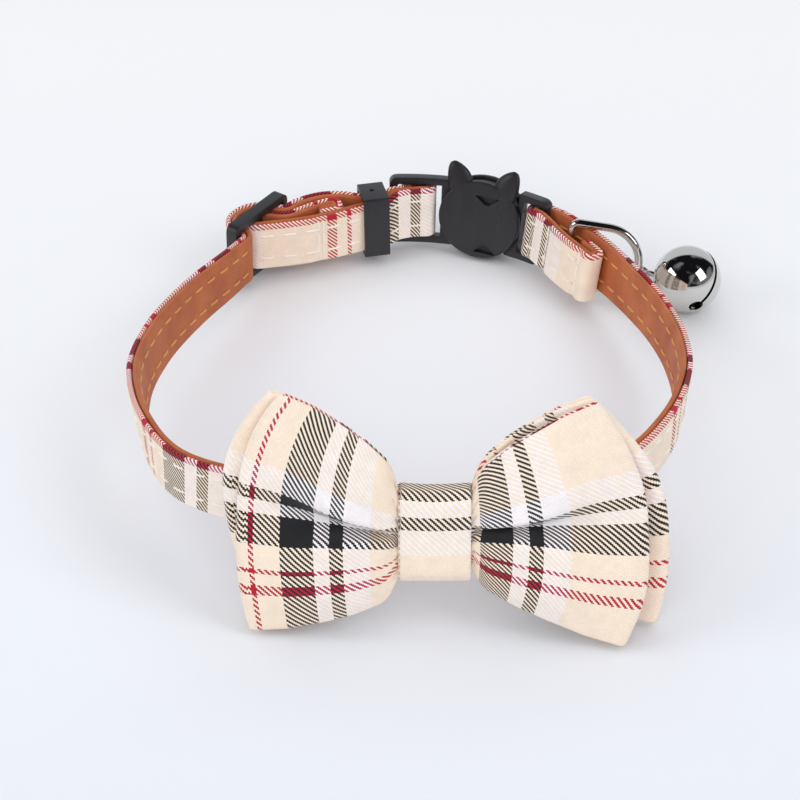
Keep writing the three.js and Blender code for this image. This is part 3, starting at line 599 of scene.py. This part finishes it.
# Running stitches along both edges, on the cloth for side 1 and on the leather for side -1.
def runningSeam(side):
    places = []
    for k in range(int((strapEnd - 2 * seam["end"]) / seam["pitch"])):
        gone = seam["end"] + (k + 0.5) * seam["pitch"]
        s = stationAt(gone)
        before, after = stationAt(gone - seam["stitch"] / 2), stationAt(gone + seam["stitch"] / 2)
        if degrees(before["along"].angle(after["along"])) > seam["bend"]:
            continue
        up = side * s["left"].normalized()
        along = (after["place"] - before["place"]).normalized()
        along = (along - up * along.dot(up)).normalized()
        for edge in (-1, 1):
            across = s["width"] * edge * (strap["width"] / 2 - seam["inset"])
            rise = pressed(gone, strapHalf) if side > 0 else strapHalf
            places.append((s["place"] + across + up * (rise - seam["sunk"]), along, up))
    return places


# Three stitches across the strap in each row of a tack.
def tackRows():
    places = []
    for tack in tacks:
        for gone in (tack["at"] + offset for offset in tack["rows"]):
            s = stationAt(gone)
            up, along = s["left"].normalized(), s["width"].normalized()
            rise = up * (pressed(gone, strapHalf) - seam["sunk"])
            places += [(s["place"] + along * k * seam["tackPitch"] + rise, along, up) for k in (-1, 0, 1)]
    return places


sew("leatherStitches", runningSeam(-1), goldThread, "strap_lining")
sew("clothStitches", runningSeam(1) + tackRows(), creamThread, "strap_face")
print("strap sewn")


bow = {"knot": Vector((5.9, -60.9, 18.5)), "lean": 16, "cloth": 1.05, "hem": 8}
knot = {
    "width": 12.4, "height": 16.8, "depth": 7.5, "drop": 1.7, "wall": 1, "corner": 2.2, "hem": 6,
    "plump": 0.1, "waist": 0.05,
}

# Rows run from the knot's middle to a lobe's tip: reach is the share of the way, half the half height,
# open and rear how far the front panel and the others stand off, crease how deep the front panel folds
# in, wide half the width of that fold and steep how steep its walls are.
lobeRows = table(
    "reach half open rear crease wide steep",
    (0, 6.8, 0.66, 0.66, 0, 1.2, 4),
    (0.18, 6.8, 0.66, 0.66, 0, 1.2, 4),
    (0.2, 9.2, 1.3, 0.75, 0.8, 1.1, 4),
    (0.26, 12.6, 2.8, 1.1, 2.7, 1.2, 4),
    (0.43, 15.6, 3.5, 1.3, 3.6, 1.7, 3.5),
    (0.6, 17.7, 3.1, 1.5, 3.4, 2.8, 3),
    (0.8, 19.8, 2.2, 1.5, 1.9, 5, 2.5),
    (1, 21, 1.3, 1.2, 0.7, 7, 2),
)
# Where the two bows' left and right tips lie, from their bottom corners to their top corners.
tips = table(
    "rise frontLeft frontRight backLeft backRight",
    (-1, 30.8, 31.7, 30.2, 37.4),
    (-0.6, 31.9, 34.5, 31.6, 38.5),
    (-0.2, 32.4, 35.0, 33.7, 38.5),
    (0.2, 32.1, 34.6, 34.7, 37.4),
    (0.5, 30.7, 32.3, 33.7, 34.4),
    (0.8, 28.4, 29.5, 30.6, 29.4),
    (1, 25.3, 26.8, 27.2, 25.6),
)
# How the lobes rise, slim, come forward and twist, and how far each bow stands from the knot's middle.
lobes = table(
    "tip lift early slim forward twist creaseRise",
    ("frontLeft", 4.0, 0.7, 0, 0.1, 0, 0.03),
    ("frontRight", 2.7, 0.25, 0.15, 2.4, 1.5, 0.02),
    ("backLeft", 4.1, 0.7, 0.1, -1.4, -0.6, 0.03),
    ("backRight", 3.5, 0.3, 0.15, 0.4, 0, 0.02),
)
frontBow = {"stand": -1.3, "bulge": -0.9, "tall": 1.02, "lobes": {-1: lobes[0], 1: lobes[1]}}
backBow = {"stand": 1.3, "bulge": 1.2, "tall": 0.98, "lobes": {-1: lobes[2], 1: lobes[3]}}


def mix(a, b, share):
    return a + (b - a) * share


# A row's values between two rows of a table, by the value of one of its columns, with soft corners.
def between(rows, column, value):
    i = next((k for k, r in enumerate(rows) if r[column] >= value - 1e-9), len(rows) - 1)
    a, b = rows[max(i, 1) - 1], rows[max(i, 1)]
    share = min(1, max(0, (value - a[column]) / (b[column] - a[column])))
    return {key: mix(a[key], b[key], share) for key in a}


def softly(rows, column, value, spread):
    low, high = rows[0][column], rows[-1][column]
    spread = min(spread, value - low, high - value)
    found = [between(rows, column, value + spread * k / 2) for k in (-2, -1, 0, 1, 2)]
    weights = (1, 2, 3, 2, 1)
    return {key: sum(w * f[key] for w, f in zip(weights, found)) / 9 for key in found[0]}


shutHem = 0.6  # half the way between the two panels at their hems
# The small pleats that the knot squeezes into a bow soon fade on the panel that shows.
gather = {"deep": 0.03, "turns": 7, "shown": 0.03, "hidden": 0.46}
narrow = lobeRows[1]["reach"]  # the share of the way that the knot covers


# A point of a bow's panel. side is -1 for the left lobe and 1 for the right, face -1 for the front
# panel and 1 for the rear, rise runs from -1 at the bottom to 1 at the top.
def panelPoint(spec, side, values, rise, face):
    lobe = spec["lobes"][side]
    tip = softly(tips, "rise", rise, 0.2)[lobe["tip"]]
    waist = knot["width"] / 2 + strap["clearance"]
    reach = values["reach"]
    beyond = max(0, (reach - narrow) / (1 - narrow))
    x = side * (waist * reach / narrow if reach <= narrow else waist + (tip - waist) * beyond)
    fromCrease = (rise - lobe["creaseRise"] * reach) * values["half"]
    valley = exp(-(abs(fromCrease / values["wide"]) ** values["steep"]))
    foremost = spec is frontBow and face < 0
    gap = values["open"] - values["crease"] * valley if foremost else values["rear"]
    gap = mix(gap, min(values["rear"], shutHem), rise**4)
    swell = spec["bulge"] * sin(pi * beyond**0.7)
    pleats = gather["deep"] * values["half"] * sin(gather["turns"] * pi * rise)
    if reach >= narrow:
        pleats *= exp(-(((reach - narrow) / gather["shown" if foremost else "hidden"]) ** 2))
    y = spec["stand"] + swell - beyond * (lobe["forward"] - lobe["twist"] * rise) + face * gap + pleats
    half = values["half"] * spec["tall"] * (1 - lobe["slim"] * (1 - beyond) if beyond > 0 else 1)
    half -= bow["cloth"] / 2
    z = lobe["lift"] * beyond ** lobe["early"] - knot["drop"] + rise * half
    return Vector((x, y, z))


# The same line as a given number of points, evenly spaced along it.
def evenly(line, steps):
    gone = runningLength(line)
    made, i = [], 0
    for k in range(steps + 1):
        want = gone[-1] * k / steps
        while i < len(line) - 2 and gone[i + 1] < want:
            i += 1
        made.append(line[i].lerp(line[i + 1], (want - gone[i]) / (gone[i + 1] - gone[i])))
    return made


def bowSheet(spec):
    columns, fine, inKnot, inLobe = 120, 320, 9, 52
    rises = [-1 + 2 * k / fine for k in range(fine + 1)]
    reaches = [k / inKnot * narrow for k in range(inKnot)]
    reaches += [narrow + (1 - narrow) * k / inLobe for k in range(inLobe + 1)]
    rows = [softly(lobeRows, "reach", reach, 0.03) for reach in reaches]

    def line(side, values, face):
        return evenly([panelPoint(spec, side, values, rise, face) for rise in rises], columns)

    def panel(side, face, some):
        return [line(side, values, face) for values in some]

    def turn(side, face):
        ends = list(zip(line(side, rows[-1], face), line(side, rows[-1], -face)))
        for k in range(1, 10):
            angle = pi * (k / 10 - 0.5)
            edge = []
            for a, b in ends:
                middle, radius = (a + b) / 2, (b - a) / 2
                outward = Vector((side * radius.length * cos(angle), 0, 0))
                edge.append(middle + radius * sin(angle) + outward)
            yield edge

    sheet = panel(-1, -1, rows[:0:-1]) + panel(1, -1, rows) + list(turn(1, -1))
    sheet += panel(1, 1, rows[:0:-1]) + panel(-1, 1, rows) + list(turn(-1, 1))
    return sheet


# A wall of even thickness about a sheet of points that runs round in a loop, with round hems. Its flat
# size and its area come with it.
def clothLoop(name, sheet, thickness, hemSteps, material):
    count, last = len(sheet), len(sheet[0]) - 1
    hemTurns = [pi * k / hemSteps for k in range(1, hemSteps)]
    rings = []
    for i, line in enumerate(sheet):
        before, after = sheet[i - 1], sheet[(i + 1) % count]
        acrosses = [line[min(j + 1, last)] - line[max(j - 1, 0)] for j in range(last + 1)]
        normals = [(b - a).cross(across).normalized() for a, b, across in zip(before, after, acrosses)]
        outside = [p + n * thickness / 2 for p, n in zip(line, normals)]
        inside = [p - n * thickness / 2 for p, n in zip(line, normals)]
        top, bottom = (
            [
                line[j] + way * (normals[j] * cos(a) + acrosses[j].normalized() * sin(a)) * thickness / 2
                for a in hemTurns
            ]
            for j, way in ((last, 1), (0, -1))
        )
        rings.append([atKnot(p) for p in outside + top + inside[::-1] + bottom])
    steps = [[(b - a).length for a, b in zip(line, sheet[(i + 1) % count])] for i, line in enumerate(sheet)]
    gone = [0]
    for lengths in steps:
        gone.append(gone[-1] + sum(lengths) / len(lengths))
    half = runningLength(sheet[0])[-1] / 2
    rim = [turn * thickness / 2 for turn in hemTurns]
    places = []
    for line in sheet:
        across = runningLength(line)
        across = [half * (2 * v / across[-1] - 1) for v in across]
        places.append(across + [half + v for v in rim] + across[::-1] + [-half - v for v in rim] + [-half])
    made = ringSkin(name, rings, gone, lambda i, j: places[i][j], material, True)
    around = [sum(lengths) for lengths in zip(*steps)]
    flat = (2 * half + thickness) * mm, max(around) * mm
    return made, flat, flat[0] * sum(around) / len(around) * mm


bowTurn = turned(-bow["lean"], "X")


def atKnot(point):
    return toFrame(bow["knot"] + bowTurn @ point)


def makeBow(name, spec, material, node):
    made, flat, area = clothLoop(name, bowSheet(spec), bow["cloth"], bow["hem"], material)
    dress(made, node)


def makeKnot():
    depth, height, half = ((knot[key] - knot["wall"]) / 2 for key in ("depth", "height", "width"))
    radius = knot["corner"]
    outline = []
    for cx, cz, start in ((1, 1, 0), (-1, 1, 90), (-1, -1, 180), (1, -1, 270)):
        outline += arc((cx * (depth - radius), cz * (height - radius)), radius, start, start + 90, 10)
    columns, step = 24, 0.5
    acrosses = [half * (1 - 2 * k / columns) for k in range(columns + 1)]
    sheet = []
    for a, b in zip(outline, outline[1:] + outline[:1]):
        pieces = max(1, ceil(dist(a, b) / step))
        for y, z in ((mix(a[0], b[0], k / pieces), mix(a[1], b[1], k / pieces)) for k in range(pieces)):
            line = []
            for x in acrosses:
                full = 1 - (x / half) ** 2
                plump, waist = 1 + knot["plump"] * full, 1 - (knot["waist"] * full if z > 0 else 0)
                line.append(Vector((x, y * plump, z * waist - knot["drop"])))
            sheet.append(line)
    made, flat, area = clothLoop("bowKnot", sheet, knot["wall"], knot["hem"], knotCloth)
    dress(made, "bow_knot")


makeBow("bowFront", frontBow, bowCloth, "bow_front")
makeBow("bowBack", backBow, rearCloth, "bow_back")
makeKnot()
print("bows made")


# The hard pieces are drawn flat in millimetres, with these tools, and then put in place.
def goTo(mode):
    bpy.ops.object.mode_set(mode=mode)


def selectOnly(piece):
    bpy.ops.object.select_all(action="DESELECT")
    piece.select_set(True)
    bpy.context.view_layer.objects.active = piece


def added(operator, **settings):
    bpy.ops.object.select_all(action="DESELECT")
    operator(**settings)
    return bpy.context.object


# Does a job in edit mode, with all of the piece selected.
def inEditMode(piece, job):
    selectOnly(piece)
    goTo("EDIT")
    bpy.ops.mesh.select_all(action="SELECT")
    job()
    goTo("OBJECT")
    return piece


def modify(piece, kind, settings):
    selectOnly(piece)
    modifier = piece.modifiers.new(kind.lower(), kind)
    for key, value in settings.items():
        setattr(modifier, key, value)
    bpy.ops.object.modifier_apply(modifier=modifier.name)


def roundEdges(piece, width, segments, angle=40):
    limit = {"limit_method": "ANGLE", "angle_limit": radians(angle)}
    modify(piece, "BEVEL", {"width": width, "segments": segments, **limit})


def combine(piece, operation, *tools):
    for tool in tools:
        modify(piece, "BOOLEAN", {"object": tool, "operation": operation, "solver": "EXACT"})
        bpy.data.objects.remove(tool)
    return piece


def block(low, high):
    low, high = Vector(low), Vector(high)
    piece = added(bpy.ops.mesh.primitive_cube_add, size=1, location=(low + high) / 2)
    piece.scale = high - low
    bpy.ops.object.transform_apply(location=True, rotation=False, scale=True)
    return piece


def bevelWhere(piece, chosen, width, segments):
    selectOnly(piece)
    goTo("EDIT")
    bpy.ops.mesh.select_mode(type="EDGE")
    bpy.ops.mesh.select_all(action="DESELECT")
    goTo("OBJECT")
    for edge in piece.data.edges:
        edge.select = chosen(*(piece.data.vertices[k].co for k in edge.vertices))
    goTo("EDIT")
    bpy.ops.mesh.bevel(offset=width, segments=segments, affect="EDGES")
    goTo("OBJECT")


# Cuts a piece into narrow strips across x, so that it can follow a bend.
def sliceAlong(piece, step):
    xs = [v.co.x for v in piece.data.vertices]

    def cut():
        for k in range(ceil(min(xs) / step), floor(max(xs) / step) + 1):
            bpy.ops.mesh.select_all(action="SELECT")
            bpy.ops.mesh.bisect(plane_co=(k * step, 0, 0), plane_no=(1, 0, 0))

    inEditMode(piece, cut)


def coat(piece, material):
    piece.data.materials.clear()
    piece.data.materials.append(material)
    return piece


def faceOutward():
    bpy.ops.mesh.normals_make_consistent(inside=False)


def finishHard(piece, name, node, material, place, smooth=32):
    for vertex in piece.data.vertices:
        vertex.co = toFrame(place(vertex.co))
    piece.name = piece.data.name = name
    coat(piece, material)

    def weld():
        bpy.ops.mesh.remove_doubles(threshold=0.002 * mm)
        faceOutward()

    inEditMode(piece, weld)
    bpy.ops.object.shade_smooth_by_angle(angle=radians(smooth))
    dress(piece, node)


# An oval head of an inner and an outer plate, joined by a web at the left, with the prong's tongue and the
# strap's frames between them. clear is the room that ears and frames keep from the plates' rims.
head = {
    "wide": 17.3, "tall": 15.8, "drop": 0.2, "inner": 1.4, "innerEdge": 0.42, "outer": 1.2, "outerEdge": 0.35,
    "web": 3.9, "tongue": 1.3, "tongueEdge": 0.2, "room": 0.3, "clear": 0.6, "slice": 0.6,
}
buckleEnd = {"socket": 18.6, "prong": 13.7, "root": 5.5, "corner": 1.4, "edge": 0.32}
# The ears, from their feet to their tips.
earRows = table(
    "rise out wide deep",
    (4.4, 4.7, 3.9, 2.8),
    (5.6, 4.65, 4.7, 2.9),
    (7.0, 4.7, 5.1, 2.8),
    (8.3, 4.95, 4.7, 2.4),
    (9.4, 5.3, 3.9, 2.0),
    (10.2, 5.7, 2.7, 1.5),
    (10.7, 5.95, 1.4, 0.9),
)
earPlace = -1.3  # inward of the buckle's middle
notch = {"wide": 5.2, "narrow": 1.0, "tall": 1.7, "floor": 0.5}
notchPlaces = [(1.35, 4.0, 1), (1.8, -6.0, -1)]  # along, rise and which way up
past = 20  # well beyond any of these pieces
earRoom = (0, -past, 4), (7.6, past, past)


def headPlate(grow, y0, y1, edge=0):
    plate = added(
        bpy.ops.mesh.primitive_cylinder_add,
        vertices=120, radius=0.5, depth=y1 - y0,
        location=(0, (y0 + y1) / 2, -head["drop"]), rotation=(pi / 2, 0, 0),
    )
    plate.scale = (head["wide"] + grow, head["tall"] + grow, 1)
    bpy.ops.object.transform_apply(location=True, rotation=True, scale=True)
    if edge:
        bevelWhere(plate, lambda a, b: abs(a.y - b.y) < 1e-4, edge, 4)
    return plate


# A cutter as tall as the strap's slots.
def slot(x0, x1, y0=-past, y1=past):
    return block((x0, y0, -buckle["slotHalf"]), (x1, y1, buckle["slotHalf"]))


def bandOf(plate, x0, x1):
    return combine(plate, "INTERSECT", block((x0, -past, -past), (x1, past, past)))


def leafEar(side):
    ear = added(bpy.ops.mesh.primitive_uv_sphere_add, segments=32, ring_count=28, radius=1)
    low, high = earRows[0]["rise"], earRows[-1]["rise"]
    for vertex in ear.data.vertices:
        x, y, z = vertex.co
        ring = hypot(x, y)
        rise = mix(low, high + 0.2, (z + 1) / 2)
        size = softly(earRows, "rise", min(rise, high), 0.6)
        full = min(1, ring / 0.4) / max(ring, 1e-6)
        vertex.co.x = side * size["out"] + x * full * size["wide"] / 2
        vertex.co.y = earPlace + y * full * size["deep"] / 2
        vertex.co.z = rise
    return ear


# A tapered notch in the inner plate, pointing up for up 1 and down for up -1.
def notchTool(along, rise, up):
    inner = -buckle["depth"] / 2 - notch["floor"]
    wide, tall = notch["wide"] / 2, notch["tall"] / 2
    tool = block((-wide, inner - 2 * head["inner"], -tall), (wide, inner, tall))
    for vertex in tool.data.vertices:
        if vertex.co.z < 0:
            vertex.co.x *= notch["narrow"] / notch["wide"]
        vertex.co.z *= up
        vertex.co.x += along
        vertex.co.z += rise
    return inEditMode(tool, faceOutward)


def buckleFrame(side, end):
    railHalf, depth, wide = buckle["railHalf"], buckle["depth"] / 2, buckle["slotWidth"]
    bar0 = buckle["barPlace"] - buckle["barWidth"] / 2
    bar1 = buckle["barPlace"] + buckle["barWidth"] / 2
    body = block((buckleEnd["root"], -depth, -railHalf), (end, depth, railHalf))
    rim = end - 0.01
    bevelWhere(body, lambda a, b: abs(a.y - b.y) > depth and min(a.x, b.x) > rim, buckleEnd["corner"], 6)
    slots = [slot(bar0 - wide, bar0)]
    if end > bar1 + wide:
        slots.append(slot(bar1, bar1 + wide))
    thin, start = buckle["barDepth"] / 2, bar0 - wide + strap["clearance"]
    slots += [slot(start, past, thin), slot(start, past, -past, -thin)]
    combine(body, "DIFFERENCE", *slots)
    roundEdges(body, buckleEnd["edge"], 3)
    if side < 0:
        for vertex in body.data.vertices:
            vertex.co.x, vertex.co.y = -vertex.co.x, -vertex.co.y
    return body


def finishBuckle(body, name, node):
    sliceAlong(body, head["slice"])
    finishHard(body, name, node, plastic, lambda p: bent(*p))


def makeSocket():
    half, left, clear = buckle["depth"] / 2, -head["wide"] / 2, head["clear"]
    inner = headPlate(0, -half - head["inner"], -half, head["innerEdge"])
    outer = headPlate(0, half, half + head["outer"], head["outerEdge"])
    web = headPlate(-clear, -half - head["inner"] / 2, half + head["outer"] / 2)
    web = bandOf(web, left, left + head["web"])
    ears = combine(leafEar(-1), "UNION", leafEar(1))
    combine(ears, "DIFFERENCE", headPlate(clear, -half, half))
    body = combine(buckleFrame(-1, buckleEnd["socket"]), "UNION", inner, outer, web, ears)
    combine(body, "DIFFERENCE", *(notchTool(*place) for place in notchPlaces))
    finishBuckle(body, "buckleSocket", "buckle_socket")


def makeProng():
    half, thin = buckle["depth"] / 2 - head["room"], head["tongue"] / 2
    left = -head["wide"] / 2 + head["web"] + head["room"]
    tongue = bandOf(headPlate(-1, -thin, thin, head["tongueEdge"]), left, past)
    outside, inside = (buckleFrame(1, buckleEnd["prong"]) for _ in range(2))
    for part in (outside, inside):
        combine(part, "DIFFERENCE", block(*earRoom))
    combine(outside, "DIFFERENCE", headPlate(head["clear"], -past, past))
    combine(inside, "INTERSECT", headPlate(1, -half, half))
    finishBuckle(combine(outside, "UNION", inside, tongue), "buckleProng", "buckle_prong")


slide = {
    "length": 16.4, "height": 13.6, "depth": 2.4, "endBar": 1.5, "midBar": 1.8, "midDepth": 1.2,
    "corner": 1.5, "edge": 0.42,
}
keeper = {
    "middle": Vector((-5.15, 49.55, 7.7)), "turn": 12, "lean": 4,
    "length": 5, "depth": 7.4, "height": 12.7, "wall": 0.85, "corner": 0.5, "edge": 0.2, "dimple": 0.45,
}


def makeAdjuster():
    length, height, depth = slide["length"] / 2, slide["height"] / 2, slide["depth"] / 2
    bar, thin = slide["midBar"] / 2, slide["midDepth"] / 2
    body = block((-length, -depth, -height), (length, depth, height))
    bevelWhere(body, lambda a, b: abs(a.y - b.y) > depth, slide["corner"], 6)
    end, wide = length - slide["endBar"], bar + 0.1  # the last two cuts thin the middle bar
    slots = [slot(bar, end), slot(-end, -bar), slot(-wide, wide, thin), slot(-wide, wide, -past, -thin)]
    combine(body, "DIFFERENCE", *slots)
    roundEdges(body, slide["edge"], 4)
    turn = turned(adjuster["turn"], "Z")
    finishHard(body, "slideAdjuster", "slide_adjuster", plastic, lambda p: adjuster["middle"] + turn @ p)


def makeKeeper():
    length, depth, height = keeper["length"] / 2, keeper["depth"] / 2, keeper["height"] / 2
    inX, inY, inZ = past, depth - keeper["wall"], height - keeper["wall"]
    body = block((-length, -depth, -height), (length, depth, height))
    bevelWhere(body, lambda a, b: abs(a.x - b.x) > length, keeper["corner"], 4)
    combine(body, "DIFFERENCE", block((-inX, -inY, -inZ), (inX, inY, inZ)))
    roundEdges(body, keeper["edge"], 3)
    cylinder = bpy.ops.mesh.primitive_cylinder_add
    pin = added(cylinder, vertices=32, radius=keeper["dimple"], depth=0.6, location=(-0.2, 0.4, height))
    combine(body, "DIFFERENCE", pin)  # the mark of a pin that pushed it out of its mould
    turn = turned(keeper["turn"], "Z") @ turned(-keeper["lean"], "X")
    finishHard(body, "keeperLoop", "keeper_loop", plastic, lambda p: keeper["middle"] + turn @ p)


dRing = {
    "foot": Vector((32.85, 37.4, 8.1)), "toward": -11.6, "dip": 3, "roll": 10,
    "length": 13.4, "tall": 12.8, "corner": 1.4, "wire": 1.7,
}
staple = {"toward": Vector((-0.86, 0.4, -0.3)).normalized(), "reach": 7.8, "radius": 1.6, "wire": 1.0}
jump = {
    "middle": Vector((45.95, 35.3, 4.3)), "normal": Vector((0.35, -0.1, 0.93)).normalized(),
    "radius": 2.7, "wire": 0.9,
}


# A round wire bent along points, closed in a ring or with two cut ends.
def bentWire(name, points, wire, closed):
    data = bpy.data.curves.new(name, "CURVE")
    data.dimensions = "3D"
    data.bevel_depth = wire / 2 * mm
    data.bevel_resolution = 6
    data.use_fill_caps = True
    line = data.splines.new("POLY")
    line.points.add(len(points) - 1)
    for point, place in zip(line.points, points):
        point.co = (*toFrame(place), 1)
    line.use_cyclic_u = closed
    selectOnly(inScene(name, data))
    bpy.ops.object.convert(target="MESH")
    bpy.ops.object.shade_smooth_by_angle(angle=radians(50))
    return coat(bpy.context.object, nickel)


def circleOf(middle, normal, radius, start, end, steps):
    first = Vector((0.3, 0.5, 1)).cross(normal).normalized()
    second = normal.cross(first)
    angles = [radians(mix(start, end, k / steps)) for k in range(steps + 1)]
    return [middle + first * radius * cos(angle) + second * radius * sin(angle) for angle in angles]


def makeDRing():
    half, corner = dRing["tall"] / 2, dRing["corner"]
    outline = list(arc((corner, half - corner), corner, 180, 90, 8))
    outline += arc((dRing["length"] - half, 0), half, 90, -90, 48)
    outline += arc((corner, corner - half), corner, 270, 180, 8)
    turn = turned(dRing["toward"], "Z") @ turned(dRing["dip"], "Y") @ turned(-dRing["roll"], "X")
    points = [dRing["foot"] + turn @ Vector((x, 0, z)) for x, z in outline]
    dress(bentWire("dRing", points, dRing["wire"], True), "d_ring")


def makeJumpRing():
    start, end = 61.5, 418.5  # in degrees, with a little daylight where the wire's ends meet
    points = circleOf(jump["middle"], jump["normal"], jump["radius"], start, end, 72)
    dress(bentWire("bellRing", points, jump["wire"], False), "bell_ring")


def makeBell():
    radius = bell["radius"]
    body = added(bpy.ops.mesh.primitive_uv_sphere_add, segments=160, ring_count=80, radius=radius)
    modify(body, "SOLIDIFY", {"thickness": bell["shell"], "offset": -1})
    slitStart = radius * cos(radians(bell["slitEnd"]))
    tools = [block((slitStart, -bell["slit"] / 2, -past), (past, bell["slit"] / 2, past))]
    for side in (-1, 1):  # a round hole at each end of the slit
        cylinder = bpy.ops.mesh.primitive_cylinder_add
        tool = added(cylinder, vertices=48, radius=bell["hole"] / 2, depth=radius, location=(0, 0, radius))
        bpy.ops.object.transform_apply(location=True, rotation=False, scale=False)
        tool.data.transform(turned(90 + side * bell["slitEnd"], "Y", 4))
        tools.append(tool)
    combine(body, "DIFFERENCE", *tools)
    roundEdges(body, bell["edge"], 2, 50)
    third = bell["mouth"].cross(bell["slitNormal"]).normalized()
    basis = Matrix((bell["mouth"], third.cross(bell["mouth"]), third)).transposed()
    finishHard(body, "bellShell", "bell_shell", nickel, lambda p: bell["middle"] + basis @ p, 40)
    middle = bell["middle"] + staple["toward"] * staple["reach"]
    sideways = staple["toward"].cross(Vector((0, 0, 1))).normalized()
    points = circleOf(middle, sideways, staple["radius"], 0, 354, 59)
    dress(bentWire("bellStaple", points, staple["wire"], True), "bell_shell", False)


makeSocket()
makeProng()
print("buckle made")
makeAdjuster()
makeKeeper()
makeDRing()
makeJumpRing()
makeBell()
coat(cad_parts["bell_pellet"], nickel)
print("fittings made")


# the board's colours at the front and at the back hold painted light falloff: darker in front, paler behind
board = {"near": -0.16, "far": 0.14, "nearShadedTone": "E4E9F1", "farLitTone": "FAFBFD"}


# White board scatters light evenly and shows no shine. Its colour is painted darker toward the front and
# paler toward the back, a painted falloff of the light over it.
def makeFloor():
    plane = added(bpy.ops.mesh.primitive_plane_add, size=4, location=(0, 0, 0))
    plane.name = "floor"
    material, tree = newMaterial("matt white board")
    place = addNode(tree, "ShaderNodeTexCoord", {}).outputs["Object"]
    away = addNode(tree, "ShaderNodeSeparateXYZ", {"Vector": place}).outputs["Y"]
    share = addNode(tree, rangeKind, {"From Min": board["near"], "From Max": board["far"], "Value": away})
    tone = {"data_type": "RGBA", 6: linear(board["nearShadedTone"]), 7: linear(board["farLitTone"])}
    tone = addNode(tree, mixKind, {**tone, "Factor": share}).outputs[2]
    addNode(tree, "Principled BSDF", {"Roughness": 0.9, "Base Color": tone})
    coat(plane, material)


def aimed(thing, place, aim):
    thing.location = place
    thing.rotation_euler = (Vector(aim) - Vector(place)).to_track_quat("-Z", "Y").to_euler()
    return thing


def areaLight(name, place, aim, size, power, colour):
    data = bpy.data.lights.new(name, "AREA")
    data.shape = "RECTANGLE"
    data.size, data.size_y = size
    data.energy = power
    data.color = linear(colour)[:3]
    return aimed(inScene(name, data), place, aim)


# A studio with a pale sweep behind the object and below eye level, and a dim room over it with a few paler
# things in it, which is what the polished nickel shows.
studio = {"sweep": "EEF1F6", "room": "1A1A1E", "things": "8E8E94", "thing": 1 / 1.7, "strength": 0.8}


def makeWorld():
    world = bpy.data.worlds.new("studio")
    bpy.context.scene.world = world
    world.use_nodes = True
    tree = world.node_tree
    direction = addNode(tree, "ShaderNodeTexCoord", {}).outputs["Generated"]
    split = addNode(tree, "ShaderNodeSeparateXYZ", {"Vector": direction})
    smooth = {"interpolation_type": "SMOOTHSTEP"}
    behind = {**smooth, "From Min": 0.52, "From Max": 0.62, "Value": split.outputs["Y"]}
    behind = addNode(tree, rangeKind, behind)
    below = {**smooth, "From Min": 0.08, "From Max": 0.14, "To Min": 1.0, "To Max": 0.0}
    below = addNode(tree, rangeKind, {**below, "Value": split.outputs["Z"]})
    pale = addNode(tree, mathsKind, {"operation": "MAXIMUM", 0: behind, 1: below})
    clutter = {"Scale": 1 / studio["thing"], "Detail": 2.0, "Distortion": 0.6}
    clutter = addNode(tree, noiseKind, {**clutter, "Vector": direction})
    things = addNode(tree, rangeKind, {**smooth, "From Min": 0.5, "From Max": 0.68, "Value": clutter})
    room = {"data_type": "RGBA", 6: linear(studio["room"]), 7: linear(studio["things"])}
    room = addNode(tree, mixKind, {**room, "Factor": things}).outputs[2]
    sky = {"data_type": "RGBA", 6: room, 7: linear(studio["sweep"])}
    sky = addNode(tree, mixKind, {**sky, "Factor": pale}).outputs[2]
    addNode(tree, "Background", {"Color": sky, "Strength": studio["strength"]})


view = {"elevation": 36, "distance": 700, "lens": 169.03}


def makeCamera():
    data = bpy.data.cameras.new("camera")
    data.lens = view["lens"]
    data.sensor_width = 36
    data.clip_start, data.clip_end = 0.05, 20
    up = radians(view["elevation"])
    place = toFrame(Vector((0, -cos(up), sin(up))) * view["distance"])
    bpy.context.scene.camera = aimed(inScene("camera", data), place, toFrame((0, 0, 0)))


makeFloor()
for name, place, aim, size, power, colour, mirrored in (
    ("left softbox", (-1.12, -0.25, 0.61), (0, 0, 0), (0.8, 0.55), 4.2, "FFFFFF", True),
    ("right softbox", (0.93, -0.54, 0.74), (0, 0, 0), (0.6, 0.75), 4.0, "FFFFFF", True),
    ("ceiling bounce", (0, 0.1, 1.2), (0, 0.1, 0), (2.8, 2.4), 18.2, "FBFCFF", False),
    ("front fill", (-0.1, -0.95, 0.6), (0, 0, 0), (0.9, 0.7), 3.9, "FFFCF8", False),
):
    areaLight(name, place, aim, size, power, colour).visible_glossy = mirrored
makeWorld()
makeCamera()
bpy.context.scene.view_settings.view_transform = "Standard"

print("scene finished")
